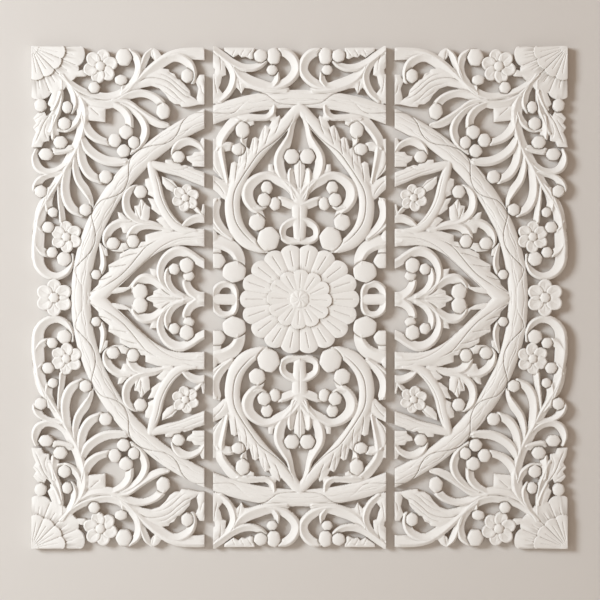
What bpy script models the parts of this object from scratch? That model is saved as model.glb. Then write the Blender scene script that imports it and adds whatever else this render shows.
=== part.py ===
"""Set of three carved openwork wall panels in white painted wood.

The carving is one pattern that runs over all three boards. It is drawn for
one quarter on a squared sheet, mirrored to the other three quarters, and cut
where the boards end. Metres, +Z up, the carved faces look towards -Y, and the
flat backs lie on the wall plane Y = 0.
"""
import math

import bpy
import numpy as np
from mathutils import Vector
from mathutils.geometry import delaunay_2d_cdt

# driving sizes, in metres
PANEL_WIDTH = 0.3095
PANEL_HEIGHT = 0.900
PANEL_GAP = 0.0158
BOARD_THICKNESS = 0.020
CARVING_DEPTH = 0.0055

# the squared sheet the pattern is drawn on, in squares over the whole set
SHEET_WIDE = 535.8
SHEET_HIGH = 502.4
GRID_STEP = 0.75
OUTLINE_TOLERANCE = 0.40
RIM_POINTS = 710
FACET_TOLERANCE = 0.075
SMALLEST_OPENING = 12.0
MOST_INNER_POINTS = 260

SET_WIDTH = 3 * PANEL_WIDTH + 2 * PANEL_GAP
SQUARE_U = SET_WIDTH / SHEET_WIDE
SQUARE_V = PANEL_HEIGHT / SHEET_HIGH

WHITE_PAINT = (0.72, 0.70, 0.66, 1.0)

# the lower quarters hang lower than a mirror image, by DRIFT squares in the
# middle and less towards the sides and the bottom
DRIFT = 5.5
DRIFT_BEND = 9e-5
DRIFT_REACH = 275.0

# the ring: inner and outer half width and half height
RING = (209.0, 190.0, 228.3, 207.5)
# the rosette: squash, outer, inner and boss radius, petals, tilt in degrees
ROSETTE = (0.915, 60.0, 32.5, 9.5, 18, 10.0)
# the rosette hangs this far under the middle of the sheet
ROSETTE_DROP = 1.8
# the corner fan: corner, inner and outer radius, lobes
FAN = (268.0, 251.0, 34.5, 54.0, 4)

# the quarter of the pattern: u to the right and v upward from the middle of
# the set, in squares. A stem is a run of (u, v, width), a berry is
# (u, v, half width, half height), a leaf is its outline.
PATTERN = []


def stem(*points, **more):
    PATTERN.append(("stem", points, more))


def berry(u, v, half_wide, half_high=None):
    PATTERN.append(("berry", (u, v, half_wide, half_high or half_wide), {}))


def leaf(*points):
    PATTERN.append(("leaf", points, {}))


def flower(u, v, size, petals, first):
    PATTERN.append(("flower", (u, v, size, petals, first), {}))


leaf((166, 17), (171, 10.5), (181, 10), (188, 11), (200, 6), (198, 1), (190, 3.6), (183, 4),
     (176, 5.4), (169, 9))
leaf((212, 229), (219, 227), (228, 224), (236, 220.3), (215, 221), (210, 224))
# knot over the rosette (on the upright axis) and beside it (on the level axis)
stem((0, 62, 12), (0, 76, 14), (0, 92, 16), (0, 104, 12), kind='band')
stem((0, 56.5, 7), (10, 56.5, 7.5), (16.7, 61, 7), (16, 69.5, 7), (10, 74.5, 8), (2, 77, 9))
stem((64.5, -8, 7), (64.5, 6, 7), (69, 12.5, 7), (77, 13, 7), (83, 8, 8), (84.5, 0, 8), (84.5, -6, 8))
stem((66, -2, 10.4), (100, -2, 11), kind='band')
# big balls round the rosette
berry(31, 58.5, 11, 12)
leaf((22, 54), (29, 45.5), (40, 44.2), (46, 53), (38, 62), (28, 62))
berry(42.5, 75, 8.2)
berry(65.3, 25.5, 11.8, 10.5)
berry(83, 36.5, 8.8, 7.6)
leaf((77, 40), (79.5, 50), (90, 51.5), (90, 37), (84, 38))
# broad C-scroll beside the ball
stem((59.5, 27, 9), (60, 38, 11), (65, 47.5, 13), (74, 53.5, 14), (84, 56, 14), (100, 57.5, 12), side=1)
# upper pointed arch: acanthus band
stem((33, 47.5, 6), (42, 50.5, 11), (53, 57, 15), (62, 68, 16), (66.3, 82, 15.5), (67, 96, 15),
     (63.5, 110, 14), (56, 125, 13), (46, 139, 13), (35.5, 152, 13), (24, 164, 13), (13, 175, 12),
     (4, 186, 11), (-2, 194, 10), kind='band')
# lobes on its outer side
leaf((16, 172), (20, 182), (27, 178), (31, 169), (31, 156), (22, 164))
leaf((26, 160), (30, 170), (34.5, 172.3), (38, 166), (41.5, 156), (41, 145), (34, 152))
leaf((37, 148), (40.5, 158), (44, 160.5), (47, 159), (50, 148), (53, 138), (51, 132))
leaf((47, 138), (50, 148), (55, 152), (60, 146), (61.5, 135), (62, 122), (56, 124))
leaf((57, 124), (60.5, 133), (65, 136), (68.5, 134), (70, 122), (72, 112), (66, 106))
# heart-shaped scrollwork inside the arch
stem((0, 90, 8), (9, 93, 9), (18, 96.5, 8.5), (26, 96.5, 7))
berry(24.7, 93.5, 5.5, 6.6)
stem((-1, 97, 9), (4, 104, 10), (11, 111.5, 10.5), (20, 116.5, 10), (32, 121.5, 8.6),
     (43, 118.3, 10), (51, 110, 11.5), (52, 100, 11.5), (47.5, 91.5, 10), (41, 85.5, 8), (37.5, 78, 7))
berry(32.7, 109.5, 5.8, 6.5)
berry(35.5, 97.5, 6.6)
stem((33, 93, 5), (38, 90, 6), (44, 90, 6))
# stem that rises to the ball under the apex
stem((1, 98, 6), (8, 110, 9), (17, 121, 10), (20.5, 132, 10.5), (19.5, 142, 10.5), (14, 152, 9.5),
     (10, 161, 6.5), (8, 170, 5.5), (6, 178, 6))
berry(7.8, 140.8, 7.4)
leaf((22, 122), (26, 128), (27, 133), (31, 133), (31.5, 126), (26, 122))
stem((5, 100, 7), (8, 114, 8), (8.5, 124, 7), (8.3, 127, 5))
leaf((-5, 122), (-5.5, 131), (0, 148), (5.5, 131), (5, 122), (3, 104), (-3, 104))
# scrolls in the upper spandrel of the centre panel
stem((60, 179, 9), (52, 180, 8), (42, 179.8, 6.5), (33, 180, 6.5), (27.8, 184, 7), (26.5, 191, 6.5))
leaf((45.5, 177), (57, 177), (56, 169), (53, 168.5), (49, 171.5), (45.5, 173))
leaf((22, 176), (29, 176.5), (33, 180), (30, 185), (24, 184))
stem((54, 178.5, 8), (65, 175.2, 11), (73, 167, 10), (79, 157, 10), (80, 146, 10), (77.5, 134, 8),
     (75, 124, 6), (73, 115, 5), side=1)
berry(57, 167.2, 7, 8)
stem((55.5, 164, 9), (56, 156, 6), (54.5, 150, 3))
berry(61.3, 148, 6.5, 5.8)
stem((64, 149.5, 7), (72, 151, 9), (80, 148, 8))
leaf((79, 160), (84, 149), (84, 158), (90, 160), (90, 131), (83, 124), (76, 117), (78, 130), (80, 145))
leaf((69, 107), (72, 113), (77.5, 117.5), (90, 124), (90, 111), (82, 104.5), (77, 99), (70, 95))
stem((83, 95, 9), (84.5, 86, 8.5), (83, 77, 9), (77, 68, 8), (68, 60, 6), side=-1)
leaf((79, 100), (82, 99.5), (90, 95), (90, 84), (82, 84), (81, 92))
stem((68, 59, 5), (76, 64, 5.5), (84, 71, 7), (92, 79, 7))
# frieze above the ring
stem((34, 210, 8), (21, 211.5, 9), (10, 217.5, 9.5), (3.6, 227, 9.8), (5.6, 237, 9.8),
     (12.5, 244, 9.5), (21, 246, 6.5))
berry(26, 241, 6.8, 8.5)
berry(27.5, 227.3, 5.4, 4.8)
stem((22.5, 224, 4.5), (23, 217, 6.5), (27, 211, 6))
stem((14, 207, 8), (26, 208.5, 10), (38, 211.5, 12), (50, 216, 12), (58.5, 222, 10), (64, 229, 7))
leaf((44, 208.3), (55, 209.5), (57, 206), (58.3, 203.4), (60.5, 207.3), (63, 209.8), (66, 206.7),
     (70, 205), (68, 224), (50, 220))
stem((34, 237, 5), (39, 232.5, 6.5), (47, 229.5, 7.5), (57, 230, 8), (67, 234.5, 8), (76, 241, 8),
     (84, 247, 7), (90, 252, 6))
berry(39, 241.5, 6.6, 6.4)
leaf((45, 249.5), (46, 239.5), (49, 238.3), (54, 240.8), (58, 240), (61, 243), (66, 240),
     (75, 246.5), (75.5, 249.7), (60, 249.7))
stem((77, 238, 5), (70, 231.5, 7), (66, 222, 7.5), (67.5, 212, 7.5), (72, 204, 7.5),
     (79, 197.5, 7), side=1)
leaf((88, 250), (82, 244), (76, 237), (74, 229), (73.5, 222.5), (77.5, 221), (79, 214),
     (81, 209.5), (77, 204), (79, 199), (86, 193.5), (90, 197), (90, 221.5), (85, 223.5),
     (84.5, 228), (90, 234), (90, 250))
# side panel
# level axis scrolls
stem((88, -1.3, 13.6), (98, -1, 13), (104, 2, 10), (110, 7, 9), (113.2, 14, 8), (112, 19, 7))
berry(110.7, 21.5, 5.6, 4.8)
berry(113, 32, 7.2, 7.4)
berry(125.2, 28.3, 5.3, 5.6)
stem((104, -1.5, 5), (117, 1, 6.5), (126.5, 7, 7), (131.7, 16, 7), (131.5, 25, 6.5), (128, 31, 4))
stem((127, 2, 5), (134, 10, 6.5), (138.7, 20, 7.5), (138.7, 30, 8), (134, 39, 9), (126, 45, 10),
     (117, 46, 10), (108, 41.5, 9.5), (100, 36, 9), (92, 32, 9))
stem((118, -0.6, 9), (129, 3.2, 8.5), (138, 11, 8), (147, 17.5, 9), (156, 18.5, 10.5),
     (163, 13, 9), (165, 6, 6))
berry(159.3, 5.5, 7.4, 8)
leaf((122, -5), (122, 4), (132, 6.5), (138.5, 9.5), (146, 6.3), (146.3, 2.6), (154, -0.6),
     (154, -2), (146.3, -4.5), (138, -8))
leaf((141, 19), (143.3, 28), (150, 29), (148.5, 24), (152, 20), (147, 14))
# side pointed arch: long acanthus band, its outer lobes
stem((90, 60, 17), (104, 60, 17), (118, 59.5, 15), (134, 56.5, 15), (150, 48.5, 15),
     (164, 37.5, 16), (178, 25, 17), (192, 11, 16), (204, -3, 14), kind='band')
leaf((118, 55), (130, 66), (142, 66), (154, 62.5), (154, 56), (163, 55), (168, 49), (176, 44),
     (165, 35), (150, 44))
leaf((155, 47), (168, 49.5), (179.5, 43.5), (180, 38.3), (191, 32.5), (190.5, 26), (200, 18.5),
     (201, 13), (210, 4), (204, -2), (190, 8), (175, 26))
# small pointed arch with the flower
stem((104, 66, 5), (115, 67, 8), (125, 73, 10), (134, 85, 10), (140, 98, 10.5), (143, 112, 10),
     (146.5, 124, 9), (149, 133, 7), kind='band')
stem((90, 116, 14), (104, 121, 13), (118, 126, 11), (132, 129, 10), (146, 132.5, 8), kind='band')
leaf((128, 69), (136, 71), (143.5, 77.5), (140, 80), (133, 82))
leaf((133, 80), (141, 83), (148, 88.5), (148, 92), (152, 99.5), (144, 98))
leaf((140, 96), (148, 101), (153.5, 104), (154.5, 118), (150, 119.5), (151, 128), (147, 130),
     (142, 116))
leaf((96, 121), (107, 130), (109, 130.5), (114.5, 132.5), (118, 131.5), (121, 136), (127, 137.5),
     (134, 137.7), (134.5, 134), (146, 135.5), (146, 130), (120, 122))
flower(114, 99.5, 13.6, 6, 100)
leaf((119, 105), (121.5, 110), (127, 117), (137.5, 121), (137, 114), (133, 108.5), (126, 105))
stem((109, 93, 5), (103, 88, 4.5), (97, 80, 4.5), (92, 74, 5))
leaf((90, 94), (97, 93), (98.5, 84), (98, 76), (90, 76))
stem((92, 78, 8), (102, 79, 8.5), (110, 76, 7.5), (116, 71, 5))
# scroll under the ring, at the panel's edge
leaf((90, 145.5), (105, 145.5), (107.5, 142), (113.5, 141), (112, 137), (107.5, 134), (107, 131),
     (90, 130.5))
stem((96.5, 146, 4.5), (101, 152, 6), (110, 156, 7.5), (119, 154, 9), (125, 147, 6.5), (126.5, 140, 4))
berry(121, 140.5, 6.3, 5.8)
leaf((90, 159.5), (97.5, 159.5), (100.5, 153), (98, 146), (90, 146))
# scrolls between the arches and the ring
berry(159, 105.5, 6.4)
stem((157, 110, 4), (165, 109.8, 5.5), (171.8, 104, 7), (173.7, 95, 8), (171.5, 86, 8.5),
     (165, 79, 8), (156, 75, 7), (145, 73, 5.5), (135, 69, 4))
leaf((150, 80), (149.5, 90), (153, 92.5), (158.5, 99), (161, 92), (165.3, 91.5), (164, 82),
     (158, 75), (152, 75))
stem((130, 65.5, 3.5), (141, 69.5, 5), (153, 71.5, 6.5), (163, 69.3, 8.5), (168.5, 62, 9),
     (167.5, 54, 8))
berry(166.3, 56, 6, 6.4)
leaf((150, 72), (160, 77), (172, 79), (178, 84.5), (182, 85.5), (180.5, 79), (188, 75.5),
     (178, 69.5), (176.5, 64.5), (173, 64), (166, 70))
stem((170, 75, 6), (180, 74, 8), (188.5, 69, 8.5), (193, 61, 8), (192.5, 53.5, 6.5),
     (186, 48.5, 4.5), (177, 47.5, 4))
berry(186.3, 54, 6.4, 6)
leaf((170, 58), (174.5, 54.5), (181, 54), (184, 48), (176, 46.5), (168, 50))
stem((199.5, 53, 3), (197, 43, 5), (196.2, 33, 6), (199, 25, 6), (203, 22, 5))
leaf((198, 53), (192.5, 48), (191.5, 41.5), (196, 41.5))
berry(203.3, 22.8, 4.8)
# outside the ring
# flower on the level axis, shield scroll with berries
flower(245.3, -0.3, 18.2, 6, 90)
stem((227.5, 42, 4), (228.5, 33, 5.5), (233.5, 25, 7), (243, 21, 7.5), (253.5, 24, 9),
     (260.5, 33, 11), (262, 45, 12.5), (261.5, 58, 12.5), (260, 70, 10.5), (258.5, 82, 9.5),
     (254, 95, 9), (249.5, 106, 9))
berry(235.3, 38.5, 7)
flower(233, 60.5, 15.6, 6, 88)
berry(247.2, 45, 5.3)
stem((250, 42.5, 6), (257, 46, 8), (262, 52, 7))
berry(251.3, 70.2, 5.8, 5.6)
stem((254, 68, 6), (259, 70, 7), (263, 76, 5))
# trunk of the corner spray and its blades
stem((238, 222, 5), (228, 209, 6.5), (220, 198, 9.5), (216.5, 184, 12), (218, 168, 9.5),
     (222, 154, 9.5), (228.5, 141, 9.5), (236, 127.5, 9), (242.8, 115, 7.6), (250.5, 103, 8),
     (258.5, 90, 8), (263, 76, 6), (266, 62, 3.5))
stem((216, 180, 6), (212, 168, 9.5), (205, 160.5, 9), (197, 156.5, 7.5), (187, 154, 6.5))
stem((218, 162, 5), (212.5, 150, 9), (204, 142, 9.5), (194, 137, 9.5), (184, 135.5, 9), (175, 136, 8))
stem((219, 160, 5), (218.7, 146, 8.5), (216, 133, 9.3), (209, 122.5, 9.5), (199, 117, 7.5))
berry(193.8, 120.5, 6.5)
stem((223, 146, 4), (224, 131, 6.5), (221, 118, 8), (214, 107.5, 8.5), (209, 98, 5), (208, 91, 4))
stem((228, 138, 5), (233, 124, 8.5), (234.5, 109, 9), (232.5, 97.5, 9.5), (227, 88.5, 9), (218, 83, 6))
berry(214, 87.6, 6)
stem((240.5, 113, 4), (239.3, 99, 5.5), (238, 87, 6), (236.8, 76, 6.5))
stem((244, 112, 6), (249.5, 104, 8.5), (251.5, 95, 8.3), (249.5, 87, 7.5), (245.5, 83, 5))
berry(246.5, 85, 4.8)
# blades on the outer edge
stem((234, 133, 6), (243, 127, 6.5), (253, 125.5, 7), (261, 129.5, 8.5), (264.5, 138, 7.5),
     (263, 147, 4))
berry(253.5, 143, 7, 6)
stem((238, 124, 6), (250, 122, 5), (258.5, 118, 7), (263, 110.5, 9), (260.5, 103.5, 7))
berry(258.5, 106, 6)
stem((228, 149, 7), (236, 147.5, 8), (244, 146.3, 7.5), (248.5, 146, 3))
berry(239, 155, 6.8, 6.2)
stem((244.3, 160, 8), (245, 170, 8), (244, 180, 7))
# serrated leaf at the edge
leaf((243, 190), (248, 180), (250, 170), (250.5, 156.5), (256, 155.5), (258, 150.5), (268, 150),
     (266.5, 158), (263.5, 165), (266.5, 170), (263.3, 174), (266.3, 179), (262, 184), (256, 187),
     (252.5, 181), (246, 188), (244, 197))
berry(258.8, 192, 6, 6.4)
# leaves between the fan and the trunk
stem((237, 222, 5), (231.5, 213, 5.5), (226, 203, 7), (225, 193, 7), (228, 186, 4.5))
berry(232.3, 190, 5, 6)
stem((238.3, 216, 4), (238.7, 200, 5), (241, 188, 6.5), (245.5, 177, 7), (250, 166, 8))
stem((240, 205, 8), (243.5, 195, 6.5), (247, 188, 5))
leaf((240, 214), (248, 203), (252, 193), (246, 188), (240, 195))
stem((219, 184, 5), (223.5, 174.5, 7), (232, 168.5, 6.5), (240, 168, 5))
berry(235, 173.6, 6.3)
# thorn in the round opening
leaf((194, 189), (208.5, 191), (213.5, 191), (213.5, 179), (210, 177), (194.3, 175.3))
# stems from the fan towards the middle
stem((238, 223, 5), (228, 213.5, 6), (217, 206.5, 6.5), (205, 202.5, 7), (192, 200.5, 8),
     (180, 203, 9), (170, 210.5, 8.5), (163, 220, 8), (160.5, 230, 8), (163, 240, 8),
     (171, 246, 6), (177, 247, 4))
berry(175.7, 240, 7.8, 8.6)
stem((220, 200, 8), (208, 194.5, 8), (195, 193, 9), (182, 195.5, 8), (170, 202, 8),
     (157, 204, 7.5), (146, 200.5, 8), (138.5, 194, 9), (136, 187, 10))
berry(136.2, 186, 6.8, 8)
stem((186, 196, 7), (172, 194, 7.5), (160.5, 186, 7.5), (150, 178.5, 8.5), (140, 173.5, 8),
     (132, 172, 5))
stem((178, 193, 5), (167, 187.5, 6), (158, 178.5, 7.5), (154, 168, 8), (156.5, 157.5, 8),
     (163, 150, 7), (169, 145, 5))
stem((186, 193, 6), (177, 188, 8), (171, 180, 8.5), (170, 171, 8))
berry(173.5, 165, 7, 6.8)
berry(165.7, 154.7, 5.6, 6.2)
berry(176, 146.5, 6.4)
berry(184.6, 157, 6.2, 6.8)
# flower by the fan, its buds
flower(199, 231, 17, 6, 105)
berry(205.3, 209.7, 5.6)
stem((176, 206, 5), (175.5, 213, 5.5))
berry(178.5, 217.3, 6.2, 5)
stem((147.5, 247.5, 4), (153, 241, 6.5), (157, 231, 6.5), (162, 219, 5.5))
leaf((137.5, 241), (141, 246.5), (146, 249.5), (148.5, 247), (148, 240.5), (144, 236))
# big acanthus leaf and the stem over it
stem((90, 243.3, 12.5), (104, 243.8, 12), (118, 243.5, 11), (130, 240, 11), (142, 232, 11),
     (153, 222, 11), (164, 211.5, 11), (176, 203, 9))
stem((132, 239, 8), (121, 240, 9), (111, 234.5, 9), (107, 226, 8.5), (107, 217, 7))
berry(112.3, 221.3, 6, 6.8)
leaf((152, 226), (138, 229), (131, 228), (129.5, 225), (125, 223.5), (122.5, 218.3),
     (118.5, 217.3), (115, 213), (110, 207), (108.8, 201.5), (104, 198.5), (99, 193.3),
     (111, 190.7), (118, 190.3), (119.5, 193), (125, 193.3), (130, 197), (134, 203), (140, 208.8),
     (148, 211.5), (158, 209.5), (170, 206), (166, 215))
leaf((90, 223), (100, 222.5), (104, 216), (101, 208.5), (103, 199), (100, 193), (90, 193))
# webs where two strokes meet and leave no opening
leaf((124, 69), (128, 64), (136, 65), (138.5, 68.5), (136, 71.5), (128, 71))
leaf((200, 197), (208, 195), (217, 199), (216, 204), (206, 203))
leaf((76, 195), (84, 193.5), (90, 196), (90, 200), (84, 202), (77, 202))


def smooth_run(points, per_span=6):
    """A smooth line through the points, the width carried along with it."""
    run = np.array(points, float)
    run = np.vstack([2 * run[0] - run[1], run, 2 * run[-1] - run[-2]])
    out = []
    for i in range(1, len(run) - 2):
        a, b, c, d = run[i - 1], run[i], run[i + 1], run[i + 2]
        for t in np.linspace(0, 1, per_span, endpoint=False):
            bend = (2 * a - 5 * b + 4 * c - d) * t * t
            twist = (3 * b - a - 3 * c + d) * t ** 3
            out.append(0.5 * (2 * b + (c - a) * t + bend + twist))
    out.append(run[-2])
    return np.array(out)


def leaf_distance(x, y, outline):
    """Distance to the outline, positive inside it."""
    nearest = np.full(x.shape, 1e9)
    inside = np.zeros(x.shape, bool)
    for i in range(len(outline)):
        a = outline[i]
        b = outline[(i + 1) % len(outline)]
        run = b - a
        length = run @ run
        if length < 1e-9:
            continue
        t = np.clip(((x - a[0]) * run[0] + (y - a[1]) * run[1]) / length, 0, 1)
        dx = x - a[0] - t * run[0]
        dy = y - a[1] - t * run[1]
        nearest = np.minimum(nearest, dx * dx + dy * dy)
        if a[1] != b[1]:
            crossing = (a[1] > y) != (b[1] > y)
            inside ^= crossing & (x < run[0] * (y - a[1]) / run[1] + a[0])
    return np.where(inside, 1, -1) * np.sqrt(nearest)


class Carving:
    """Height and outline of the carving over a grid of the squared sheet.

    edge is the distance to the outline, positive in the wood. high runs from
    0 at the rim of the strokes to 1 at the highest carving.
    """

    def __init__(self, u, v):
        self.u, self.v = np.meshgrid(u, v)
        self.u_line = u
        self.v_line = v
        self.edge = np.full(self.u.shape, -9.0)
        self.high = np.zeros(self.u.shape)

    def node(self, u, v):
        j = int(round((u - self.u_line[0]) / GRID_STEP))
        i = int(round((v - self.v_line[0]) / GRID_STEP))
        return min(max(i, 0), len(self.v_line) - 1), min(max(j, 0), len(self.u_line) - 1)

    def level(self, u, v):
        return float(self.high[self.node(u, v)])

    def inside(self, spot):
        u, v = spot
        if not self.u_line[0] < u < self.u_line[-1]:
            return -9.0
        return float(self.edge[self.node(u, v)])

    def window(self, u0, v0, u1, v1):
        pad = 2.0
        i = np.searchsorted(self.v_line, [v0 - pad, v1 + pad])
        j = np.searchsorted(self.u_line, [u0 - pad, u1 + pad])
        return slice(i[0], i[1]), slice(j[0], j[1])

    def put(self, at, edge, high):
        self.edge[at] = np.maximum(self.edge[at], edge)
        self.high[at] = np.where(edge >= 0, np.maximum(self.high[at], high), self.high[at])

    def stem(self, points, side=0, kind="stem"):
        run = smooth_run(points)
        low = run.min(0)
        top = run.max(0)
        half = top[2] / 2
        at = self.window(low[0] - half, low[1] - half, top[0] + half, top[1] + half)
        x = self.u[at]
        y = self.v[at]
        if x.size == 0:
            return
        steps = np.diff(run[:, :2], axis=0)
        turn = steps[:-1, 0] * steps[1:, 1] - steps[:-1, 1] * steps[1:, 0]
        side = side or (1 if turn.sum() >= 0 else -1)
        best = np.full(x.shape, 1e9)
        edge = np.full(x.shape, -9.0)
        high = np.zeros(x.shape)
        for a, b in zip(run[:-1], run[1:]):
            step = b[:2] - a[:2]
            length = step @ step
            if length < 1e-9:
                continue
            t = np.clip(((x - a[0]) * step[0] + (y - a[1]) * step[1]) / length, 0, 1)
            dx = x - a[0] - t * step[0]
            dy = y - a[1] - t * step[1]
            away = np.sqrt(dx * dx + dy * dy)
            half = np.maximum((a[2] + t * (b[2] - a[2])) / 2, 0.01)
            ratio = away / half
            nearer = ratio < best
            best = np.where(nearer, ratio, best)
            edge = np.maximum(edge, half - away)
            across = ratio * np.sign(step[0] * dy - step[1] * dx) * side
            if kind == "band":
                shape = 0.25 + 0.55 * (1 - np.abs(across) ** 3)
            else:
                ridge = np.where(across < -0.4, (across + 1) / 0.6, (1 - across) / 1.4)
                shape = 0.85 * ridge * np.clip(half / 3.5, 0.35, 1)
            high = np.where(nearer, shape, high)
        self.put(at, edge, np.clip(high, 0, 1))

    def berry(self, u, v, half_wide, half_high, low=0.12, top=0.95):
        at = self.window(u - half_wide, v - half_high, u + half_wide, v + half_high)
        ratio = np.hypot((self.u[at] - u) / half_wide, (self.v[at] - v) / half_high)
        dome = np.sqrt(np.clip(1 - ratio ** 2, 0, 1))
        self.put(at, (1 - ratio) * min(half_wide, half_high), low + (top - low) * dome)

    def leaf(self, points):
        outline = np.array(points, float)
        low = outline.min(0)
        top = outline.max(0)
        at = self.window(low[0], low[1], top[0], top[1])
        if self.u[at].size:
            edge = leaf_distance(self.u[at], self.v[at], outline)
            self.put(at, edge, 0.5 * np.clip(edge / 3.5, 0, 1))

    def flower(self, u, v, size, petals, first):
        for i in range(petals):
            turn = math.radians(first + 360.0 * i / petals)
            along = size * 0.44
            aside = size * 0.37
            cu = u + 0.58 * size * math.cos(turn)
            cv = v + 0.58 * size * math.sin(turn)
            at = self.window(cu - along, cv - along, cu + along, cv + along)
            dx = self.u[at] - cu
            dy = self.v[at] - cv
            a = (dx * math.cos(turn) + dy * math.sin(turn)) / along
            b = (dy * math.cos(turn) - dx * math.sin(turn)) / aside
            ratio = np.hypot(a, b)
            dome = np.sqrt(np.clip(1 - ratio ** 2, 0, 1))
            self.put(at, (1 - ratio) * aside, 0.3 + 0.3 * dome)
        self.berry(u, v, size * 0.33, size * 0.33, 0.5, 1.0)

    def ring(self, inner_u, inner_v, outer_u, outer_v):
        turn = np.arctan2(self.v, self.u)
        inner = 1 / np.hypot(np.cos(turn) / inner_u, np.sin(turn) / inner_v)
        outer = 1 / np.hypot(np.cos(turn) / outer_u, np.sin(turn) / outer_v)
        across = 2 * (np.hypot(self.u, self.v) - inner) / (outer - inner) - 1
        edge = (1 - np.abs(across)) * (outer - inner) / 2
        self.put(slice(None), edge, 0.2 + 0.6 * (1 - np.abs(across) ** 3))

    def rosette(self, squash, outer, inner, boss, petals, tilt):
        away = np.hypot(self.u, (self.v + ROSETTE_DROP) / squash)
        turn = np.arctan2((self.v + ROSETTE_DROP) / squash, self.u) / (2 * math.pi) + tilt / 360.0
        lobe = np.abs(np.sin(math.pi * petals * turn))
        self.put(slice(None), outer * (0.885 + 0.115 * lobe ** 0.5) - away,
                 0.2 + 0.3 * np.sqrt(lobe) * np.clip(away / outer, 0, 1))
        lobe = np.abs(np.sin(math.pi * (petals - 6) * turn + 0.8))
        self.put(slice(None), inner * (0.86 + 0.14 * lobe ** 0.5) - away,
                 0.6 + 0.2 * np.sqrt(lobe) * np.clip(away / inner, 0, 1))
        dome = np.sqrt(np.clip(1 - (away / boss) ** 2, 0, 1))
        self.put(slice(None), boss - away, 0.75 + 0.25 * dome)

    def fan(self, u, v, inner, outer, lobes):
        dx = u - self.u
        dy = v - self.v
        away = np.hypot(dx, dy)
        turn = np.arctan2(dy, dx) / (0.5 * math.pi)
        lobe = np.abs(np.sin(math.pi * lobes * turn))
        there = (self.u > u - outer - 6) & (self.v > v - outer - 6)
        for size, low, top in ((outer, 0.2, 0.45), (inner, 0.55, 0.8)):
            edge = np.where(there, size * (0.92 + 0.08 * lobe ** 0.5) - away, -9)
            self.put(slice(None), edge, low + (top - low) * np.sqrt(lobe))

    def carve(self):
        for kind, data, more in PATTERN:
            if kind == "stem":
                self.stem(data, **more)
            elif kind == "berry":
                self.berry(*data)
            elif kind == "leaf":
                self.leaf(data)
            else:
                self.flower(*data)
        self.ring(*RING)
        self.fan(*FAN)


def carved_quarter():
    """The mirrored part of the pattern, over one quarter of the sheet."""
    u = np.arange(-2, int(272 / GRID_STEP)) * GRID_STEP
    v = np.arange(-8, int(258 / GRID_STEP)) * GRID_STEP
    quarter = Carving(u, v)
    quarter.carve()
    return quarter


def take_mirrored(quarter, field):
    """Mirror the quarter to all four, the lower two drifted as on the real set."""
    s = np.abs(field.u)
    lean = 1 - s / DRIFT_REACH
    below = -field.v
    lowered = below - (DRIFT - DRIFT_BEND * below ** 2) * lean
    t = np.where(field.v > -0.5 * DRIFT * lean, field.v, lowered)
    x = np.clip((s - quarter.u_line[0]) / GRID_STEP, 0, len(quarter.u_line) - 1.01)
    y = np.clip((t - quarter.v_line[0]) / GRID_STEP, 0, len(quarter.v_line) - 1.01)
    j = x.astype(int)
    i = y.astype(int)
    x -= j
    y -= i
    for name in ("edge", "high"):
        q = getattr(quarter, name)
        low = q[i, j] * (1 - x) + q[i, j + 1] * x
        top = q[i + 1, j] * (1 - x) + q[i + 1, j + 1] * x
        setattr(field, name, low * (1 - y) + top * y)


def rosette_marks(squash, outer, inner, boss, petals, tilt):
    """Points on the petals and between them, where the facets turn."""
    marks = [(0.0, -ROSETTE_DROP)]
    for size, share, count, lag in ((outer, 0.80, 2 * petals, 0.0), (inner, 1.10, petals, 0.0),
                                    (inner, 0.84, 2 * (petals - 6), 0.8 / math.pi / (petals - 6)),
                                    (boss, 1.15, petals // 2, 0.0)):
        for k in range(count):
            turn = 2 * math.pi * (k / count - lag - (tilt / 360.0 if size == outer else 0.0))
            up = size * share * squash * math.sin(turn) - ROSETTE_DROP
            marks.append((size * share * math.cos(turn), up))
    return marks


def fan_marks(u, v, inner, outer, lobes):
    marks = []
    for size, share, count in ((outer, 0.86, 2 * lobes), (inner, 1.08, lobes), (inner, 0.86, 2 * lobes)):
        for k in range(count + 1):
            turn = 0.5 * math.pi * min(max(k / count, 0.03), 0.97)
            x = u - size * share * math.cos(turn)
            y = v - size * share * math.sin(turn)
            marks += [(x, y), (-x, y), (x, -y), (-x, -y)]
    return marks


def panel_field(quarter, u_low, u_high):
    """Outline distance and height over one board, with the rosette added."""
    i_low = int(math.floor(u_low / GRID_STEP)) - 2
    i_high = int(math.ceil(u_high / GRID_STEP)) + 2
    half = SHEET_HIGH / 2
    j_top = int(math.ceil(half / GRID_STEP)) + 2
    columns = np.arange(i_low, i_high + 1)
    rows = np.arange(-j_top, j_top + 1)
    field = Carving(columns * GRID_STEP, rows * GRID_STEP)
    take_mirrored(quarter, field)
    field.rosette(*ROSETTE)
    field.marks = rosette_marks(*ROSETTE) + fan_marks(*FAN)
    board = np.minimum(np.minimum(field.u - u_low, u_high - field.u), half - np.abs(field.v))
    field.cut = board < field.edge
    field.edge = np.minimum(field.edge, board)
    return field


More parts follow.
